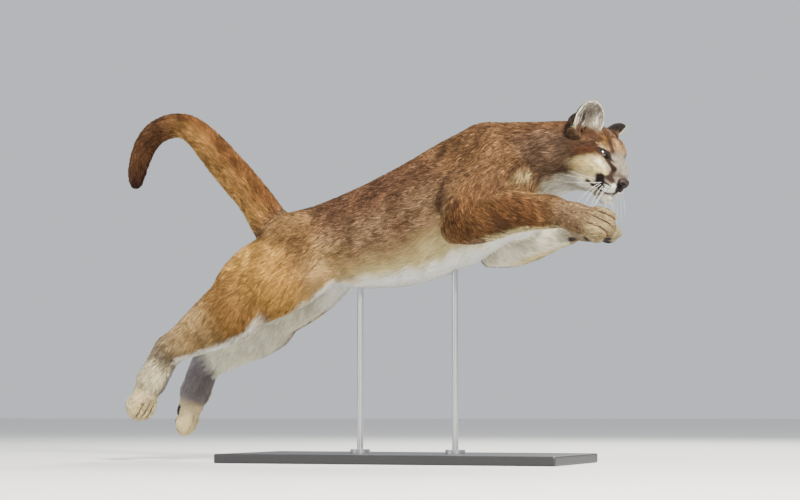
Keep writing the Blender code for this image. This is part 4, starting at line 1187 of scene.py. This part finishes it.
def tuft_mesh(name, root, skin_normal, flow, length, width, height, colours, ticking, uv):
    """One joined mesh of spikes. Each has two corners and a back at its root, and a tip."""
    count = len(root)
    length = length * random.uniform(0.70, 1.25, count)
    flow = unit(flow + np.cross(skin_normal, flow) * random.normal(0, SPLAY, count)[:, None])
    far = root + flow * length[:, None]
    lift = height * random.uniform(0.65, 1.25, count)
    tip = np.empty_like(far)
    for index in range(count):
        place, facing, _, _ = skin_tree.find_nearest(far[index])
        tip[index] = place + facing * lift[index]
    clump = clumps(root)
    tip += (tip[clump] - tip) * CLUMP_PULL
    sideways = unit(np.cross(tip - root, skin_normal))
    across = sideways * (width * random.uniform(0.75, 1.25, count) / 2)[:, None]
    places = np.empty((count, 4, 3), np.float32)
    places[:, 0] = root - across - skin_normal * ROOT_SINK
    places[:, 1] = root + across - skin_normal * ROOT_SINK
    places[:, 2] = root + skin_normal * (lift * 0.45)[:, None] + flow * (length * 0.12)[:, None]
    places[:, 3] = tip
    corners = (np.arange(count)[:, None] * 4 + SPIKE).astype(np.int32)
    mesh = bpy.data.meshes.new(name)
    mesh.vertices.add(count * 4)
    mesh.vertices.foreach_set("co", places.ravel())
    mesh.loops.add(count * 12)
    mesh.loops.foreach_set("vertex_index", corners.ravel())
    mesh.polygons.add(count * 4)
    mesh.polygons.foreach_set("loop_start", np.arange(0, count * 12, 3, dtype=np.int32))
    mesh.polygons.foreach_set("loop_total", np.full(count * 4, 3, np.int32))
    mesh.update(calc_edges=True)
    colour_mesh(mesh, tuft_shades(colours, ticking, clump))

    layer = mesh.uv_layers.new(name="OFBake")
    patch = np.array(((-0.42, -0.5), (0.42, -0.5), (0.0, -0.2), (0, 0.5))) * UV_PATCH
    spread = (uv[:, None, :] + patch[None]).reshape(-1, 2)
    layer.data.foreach_set("uv", spread[corners.ravel()].astype(np.float32).ravel())

    tilt = skin_normal + sideways * random.normal(0, 0.28, count)[:, None]
    facing = np.stack((tilt - sideways * 0.8, tilt + sideways * 0.8, tilt, tilt + flow * 0.25), axis=1)
    smooth_faces(mesh)
    mesh.normals_split_custom_set_from_vertices(unit(facing).reshape(-1, 3).tolist())
    mesh.materials.append(coat_finish)
    made = bpy.data.objects.new(name, mesh)
    bpy.context.scene.collection.objects.link(made)
    return made


coat_finish = finish_material("coat", 0.75, 0.08)
bm = bmesh.new()
bm.from_mesh(skin.data)
skin_tree = BVHTree.FromBMesh(bm)
bm.free()
surveyed = survey(points)
local, side_of, ear = ear_places(points)
pieces = label(points, surveyed, ear)
counts = {name: int(count * (1)) for name, count in TUFTS.items()}
for name, (root, facing) in sample(skin.data, pieces, counts).items():
    colours, ticking, bare = coat_colours(root, facing)
    keep = bare < 0.5
    root, facing, colours, ticking = root[keep], facing[keep], colours[keep], ticking[keep]
    surveyed = survey(root)
    local, side_of, ear = ear_places(root)
    flow = flow_at(root, facing, surveyed, side_of, ear)
    length, width, height = tuft_sizes(root, surveyed, local, ear, paw_share(surveyed, root))
    width = width * 1.0
    uv = unwrap(root, surveyed)
    piece = tuft_mesh(name, root, facing, flow, length, width, height, colours, ticking, uv)
    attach(piece, "root")


# Eyes. Dark amber iris round a black pupil, under a clear bulge, all glossy.
PUPIL_ANGLE = 16
IRIS_ANGLE = 38
IRIS = (0.046, 0.023, 0.007)

for side, name in ((-1, "eye_right"), (1, "eye_left")):
    bm = bmesh.new()
    lie = Matrix.Rotation(math.radians(90), 4, "Y")
    bmesh.ops.create_uvsphere(bm, u_segments=64, v_segments=48, radius=EYE_RADIUS * 0.985, matrix=lie)
    shades = []
    for vert in bm.verts:
        angle = math.degrees(vert.co.angle(Vector((1, 0, 0))))
        streak = 0.75 + 0.5 * abs(math.sin(math.atan2(vert.co.z, vert.co.y) * 16))
        if angle < PUPIL_ANGLE:
            shades.append((0.004, 0.004, 0.004))
        elif angle < IRIS_ANGLE:
            shades.append([value * streak for value in IRIS])
        else:
            shades.append((0.016, 0.009, 0.007))
        vert.co *= 1 + 0.045 * max(0.0, 1 - (angle / IRIS_ANGLE) ** 2)
    bm.transform(HEAD @ eye_frame(side))
    ball = new_object(name + "_ball", bm)
    colour_mesh(ball.data, np.array(shades))
    smooth_faces(ball.data)
    wet = finish_material(name, 0.10, 0.5)
    shader = wet.node_tree.nodes["Principled BSDF"]
    shader.inputs["Coat Weight"].default_value = 0.6
    shader.inputs["Coat Roughness"].default_value = 0.02
    ball.data.materials.append(wet)
    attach(ball, "root")
    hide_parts(name)


# Nose. Bare, pebbled leather with two nostrils.
bm = bmesh.new()
ellipsoid(bm, Vector((0.0625, 0, -0.0370)), (0.0100, 0.0150, 0.0085))
ellipsoid(bm, Vector((0.0655, 0, -0.0445)), (0.0085, 0.0108, 0.0090))
pair(bm, (0.0595, 0.0112, -0.0405), (0.0095, 0.0074, 0.0080))
ellipsoid(bm, Vector((0.0640, 0, -0.0560)), (0.0050, 0.0034, 0.0100))
bm.transform(HEAD)
pad = new_object("nose_pad", bm)
fuse(pad, 0.0009, 5)
for side in (-1, 1):
    bm = bmesh.new()
    turn = Matrix.Rotation(math.radians(32 * side), 4, "X")
    ellipsoid(bm, Vector((0.0735, 0.0078 * side, -0.0430)), (0.0085, 0.0030, 0.0036))
    ellipsoid(bm, Vector((0.0685, 0.0122 * side, -0.0415)), (0.0070, 0.0042, 0.0016), turn)
    bm.transform(HEAD)
    hole = new_object("nostril", bm)
    fuse(hole, 0.0007, 2)
    cut(pad, hole)
points, normals = coordinates(pad.data)
places = in_frame(HEAD_INVERSE, points)
inside = np.linalg.norm((fold(places) - (0.070, 0.0085, -0.0425)) / (0.0065, 0.0062, 0.0042), axis=1)
colours = layers(
    (0.010, 0.006, 0.006),
    ((0.030, 0.016, 0.015), ramp(places[:, 2], -0.046, -0.034) * 0.8),
    ((0.014, 0.009, 0.009), ramp(places[:, 2], -0.049, -0.056)),
    ((0.006, 0.005, 0.005), ramp(inside, 1.0, 0.7)),
)
colour_mesh(pad.data, colours)
smooth_faces(pad.data)
pad.data.materials.clear()
pad.data.materials.append(finish_material("nose", 0.50, 0.25, 0.6, 900.0))
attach(pad, "root")
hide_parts("nose")


# Whiskers. Long white hairs that spring from the dark patches. The upper ones lie back
# along the cheek and the lower ones hang.
WHISKER_SIDES = 5
WHISKER_STEPS = 14
# Root, first direction, pull of the bend and length, on the left side of the head.
WHISKER_LINES = (
    ((0.020, 0.0420, -0.054), (-0.80, 0.62, -0.30), (-0.30, -0.10, 0.10), 0.080),
    ((0.022, 0.0410, -0.059), (-0.78, 0.60, -0.42), (-0.30, -0.10, 0.05), 0.092),
    ((0.026, 0.0395, -0.056), (-0.70, 0.70, -0.35), (-0.40, -0.15, 0.05), 0.074),
    ((0.030, 0.0380, -0.062), (-0.60, 0.72, -0.55), (-0.35, -0.10, -0.05), 0.085),
    ((0.024, 0.0390, -0.068), (-0.30, 0.60, -0.80), (0.10, -0.10, -0.40), 0.062),
    ((0.028, 0.0375, -0.069), (-0.15, 0.55, -0.85), (0.30, -0.15, -0.35), 0.070),
    ((0.033, 0.0350, -0.070), (0.05, 0.50, -0.90), (0.25, -0.10, -0.30), 0.066),
    ((0.040, 0.0310, -0.066), (0.20, 0.60, -0.80), (0.10, 0.05, -0.45), 0.060),
    ((0.045, 0.0270, -0.062), (0.30, 0.70, -0.65), (0.00, 0.05, -0.50), 0.055),
    ((0.046, 0.0120, -0.098), (0.55, 0.20, -0.80), (0.10, 0.00, -0.20), 0.030),
)
bm = bmesh.new()
for side in (-1, 1):
    for root, aim, pull, reach in WHISKER_LINES:
        mirror = Vector((1, side, 1))
        start = Vector(root) * mirror
        aim = Vector(aim) * mirror + Vector(random.normal(0, 0.05, 3).tolist())
        aim.normalize()
        bend = Vector(pull) * mirror
        route = []
        for step in range(WHISKER_STEPS + 1):
            part = step / WHISKER_STEPS
            place = start + (aim * part + bend * part**2) * reach
            route.append((place, 0.00042 * (1 - part) ** 0.7 + 0.00006))
        rings = []
        for step, (centre, radius) in enumerate(route):
            ahead = route[min(step + 1, WHISKER_STEPS)][0] - route[max(step - 1, 0)][0]
            turn = axes(ahead, (0, 0.1, 1))
            ring = []
            for corner in range(WHISKER_SIDES):
                angle = 2 * math.pi * corner / WHISKER_SIDES
                offset = Vector((0, math.cos(angle) * radius, math.sin(angle) * radius))
                ring.append(bm.verts.new(centre + turn.to_3x3() @ offset))
            rings.append(ring)
        for near, far in zip(rings, rings[1:]):
            for corner in range(WHISKER_SIDES):
                after = (corner + 1) % WHISKER_SIDES
                bm.faces.new((near[corner], near[after], far[after], far[corner]))
        bm.faces.new(rings[0][::-1])
        bm.faces.new(rings[-1])
bm.transform(HEAD)
whiskers = new_object("whiskers", bm)
smooth_faces(whiskers.data)
colour_mesh(whiskers.data, np.tile((0.85, 0.83, 0.78), (len(whiskers.data.vertices), 1)))
whiskers.data.materials.append(finish_material("whisker", 0.35, 0.5))
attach(whiskers, "root")


# Stand. A board in satin black paint with a faint grain, and brushed steel rods.


def plain_material(name, colour, roughness, metallic, stretch, grain):
    """A finish whose fine bump and gloss follow a noise drawn out along one axis."""
    made = bpy.data.materials.new(name)
    made.use_nodes = True
    tree = made.node_tree
    shader = tree.nodes["Principled BSDF"]
    shader.inputs["Base Color"].default_value = (*colour, 1)
    shader.inputs["Metallic"].default_value = metallic
    place = tree.nodes.new("ShaderNodeTexCoord")
    scale = tree.nodes.new("ShaderNodeMapping")
    scale.inputs["Scale"].default_value = stretch
    noise = tree.nodes.new("ShaderNodeTexNoise")
    noise.inputs["Scale"].default_value = 1.0
    noise.inputs["Detail"].default_value = 4.0
    gloss = tree.nodes.new("ShaderNodeMapRange")
    gloss.inputs["To Min"].default_value = roughness - 0.06
    gloss.inputs["To Max"].default_value = roughness + 0.08
    bump = tree.nodes.new("ShaderNodeBump")
    bump.inputs["Strength"].default_value = grain
    bump.inputs["Distance"].default_value = 0.0004
    tree.links.new(place.outputs["Object"], scale.inputs["Vector"])
    tree.links.new(scale.outputs["Vector"], noise.inputs["Vector"])
    tree.links.new(noise.outputs["Fac"], gloss.inputs["Value"])
    tree.links.new(gloss.outputs["Result"], shader.inputs["Roughness"])
    tree.links.new(noise.outputs["Fac"], bump.inputs["Height"])
    tree.links.new(bump.outputs["Normal"], shader.inputs["Normal"])
    return made


painted = plain_material("stand_paint", (0.018, 0.018, 0.020), 0.42, 0.0, (25, 300, 25), 0.25)
steel = plain_material("stand_rods", (0.56, 0.56, 0.57), 0.30, 1.0, (300, 300, 12), 0.12)
for name in ("stand_base", "stand_collar_front", "stand_collar_rear", "stand_rod_front", "stand_rod_rear"):
    nodes[name].data.materials.clear()
    nodes[name].data.materials.append(painted if name == "stand_base" else steel)


# Floor, light and camera. A plain pale floor and soft studio light from above and from the
# camera's right, seen from a little below the cat as in the photo.
bm = bmesh.new()
bmesh.ops.create_grid(bm, x_segments=1, y_segments=1, size=60.0)
floor = new_object("floor", bm)
floor_finish = plain_material("floor", (0.80, 0.79, 0.77), 0.75, 0.0, (3, 3, 3), 0.05)
floor.data.materials.append(floor_finish)

world = bpy.data.worlds.new("studio")
world.use_nodes = True
world.node_tree.nodes["Background"].inputs["Color"].default_value = (0.86, 0.90, 0.96, 1)
world.node_tree.nodes["Background"].inputs["Strength"].default_value = 0.75
bpy.context.scene.world = world


def area_light(name, place, target, size, power, colour):
    light = bpy.data.lights.new(name, "AREA")
    light.shape = "DISK"
    light.size = size
    light.energy = power
    light.color = colour
    made = bpy.data.objects.new(name, light)
    made.location = place
    made.rotation_mode = "QUATERNION"
    made.rotation_quaternion = (Vector(target) - Vector(place)).to_track_quat("-Z", "Y")
    bpy.context.scene.collection.objects.link(made)


area_light("key", (2.4, -3.2, 3.2), (0.1, 0, 0.6), 0.9, 640, (1.0, 0.94, 0.84))
area_light("fill", (-3.2, -3.0, 1.8), (0, 0, 0.5), 2.6, 90, (0.92, 0.95, 1.0))
area_light("rim", (0.6, 3.2, 3.4), (0, 0, 0.6), 1.8, 260, (1.0, 0.98, 0.95))

CAMERA_DISTANCE = 4.911
azimuth, elevation = math.radians(20), math.radians(-5)
back = Vector(
    (math.sin(azimuth) * math.cos(elevation), -math.cos(azimuth) * math.cos(elevation), math.sin(elevation))
)
camera = bpy.data.objects.new("camera", bpy.data.cameras.new("camera"))
camera.data.lens = 85
camera.data.sensor_width = 36
camera.location = SHIFT + Vector((0, 0, 0.55)) + back * CAMERA_DISTANCE
camera.rotation_mode = "QUATERNION"
camera.rotation_quaternion = (-back).to_track_quat("-Z", "Y")
bpy.context.scene.collection.objects.link(camera)
bpy.context.scene.camera = camera
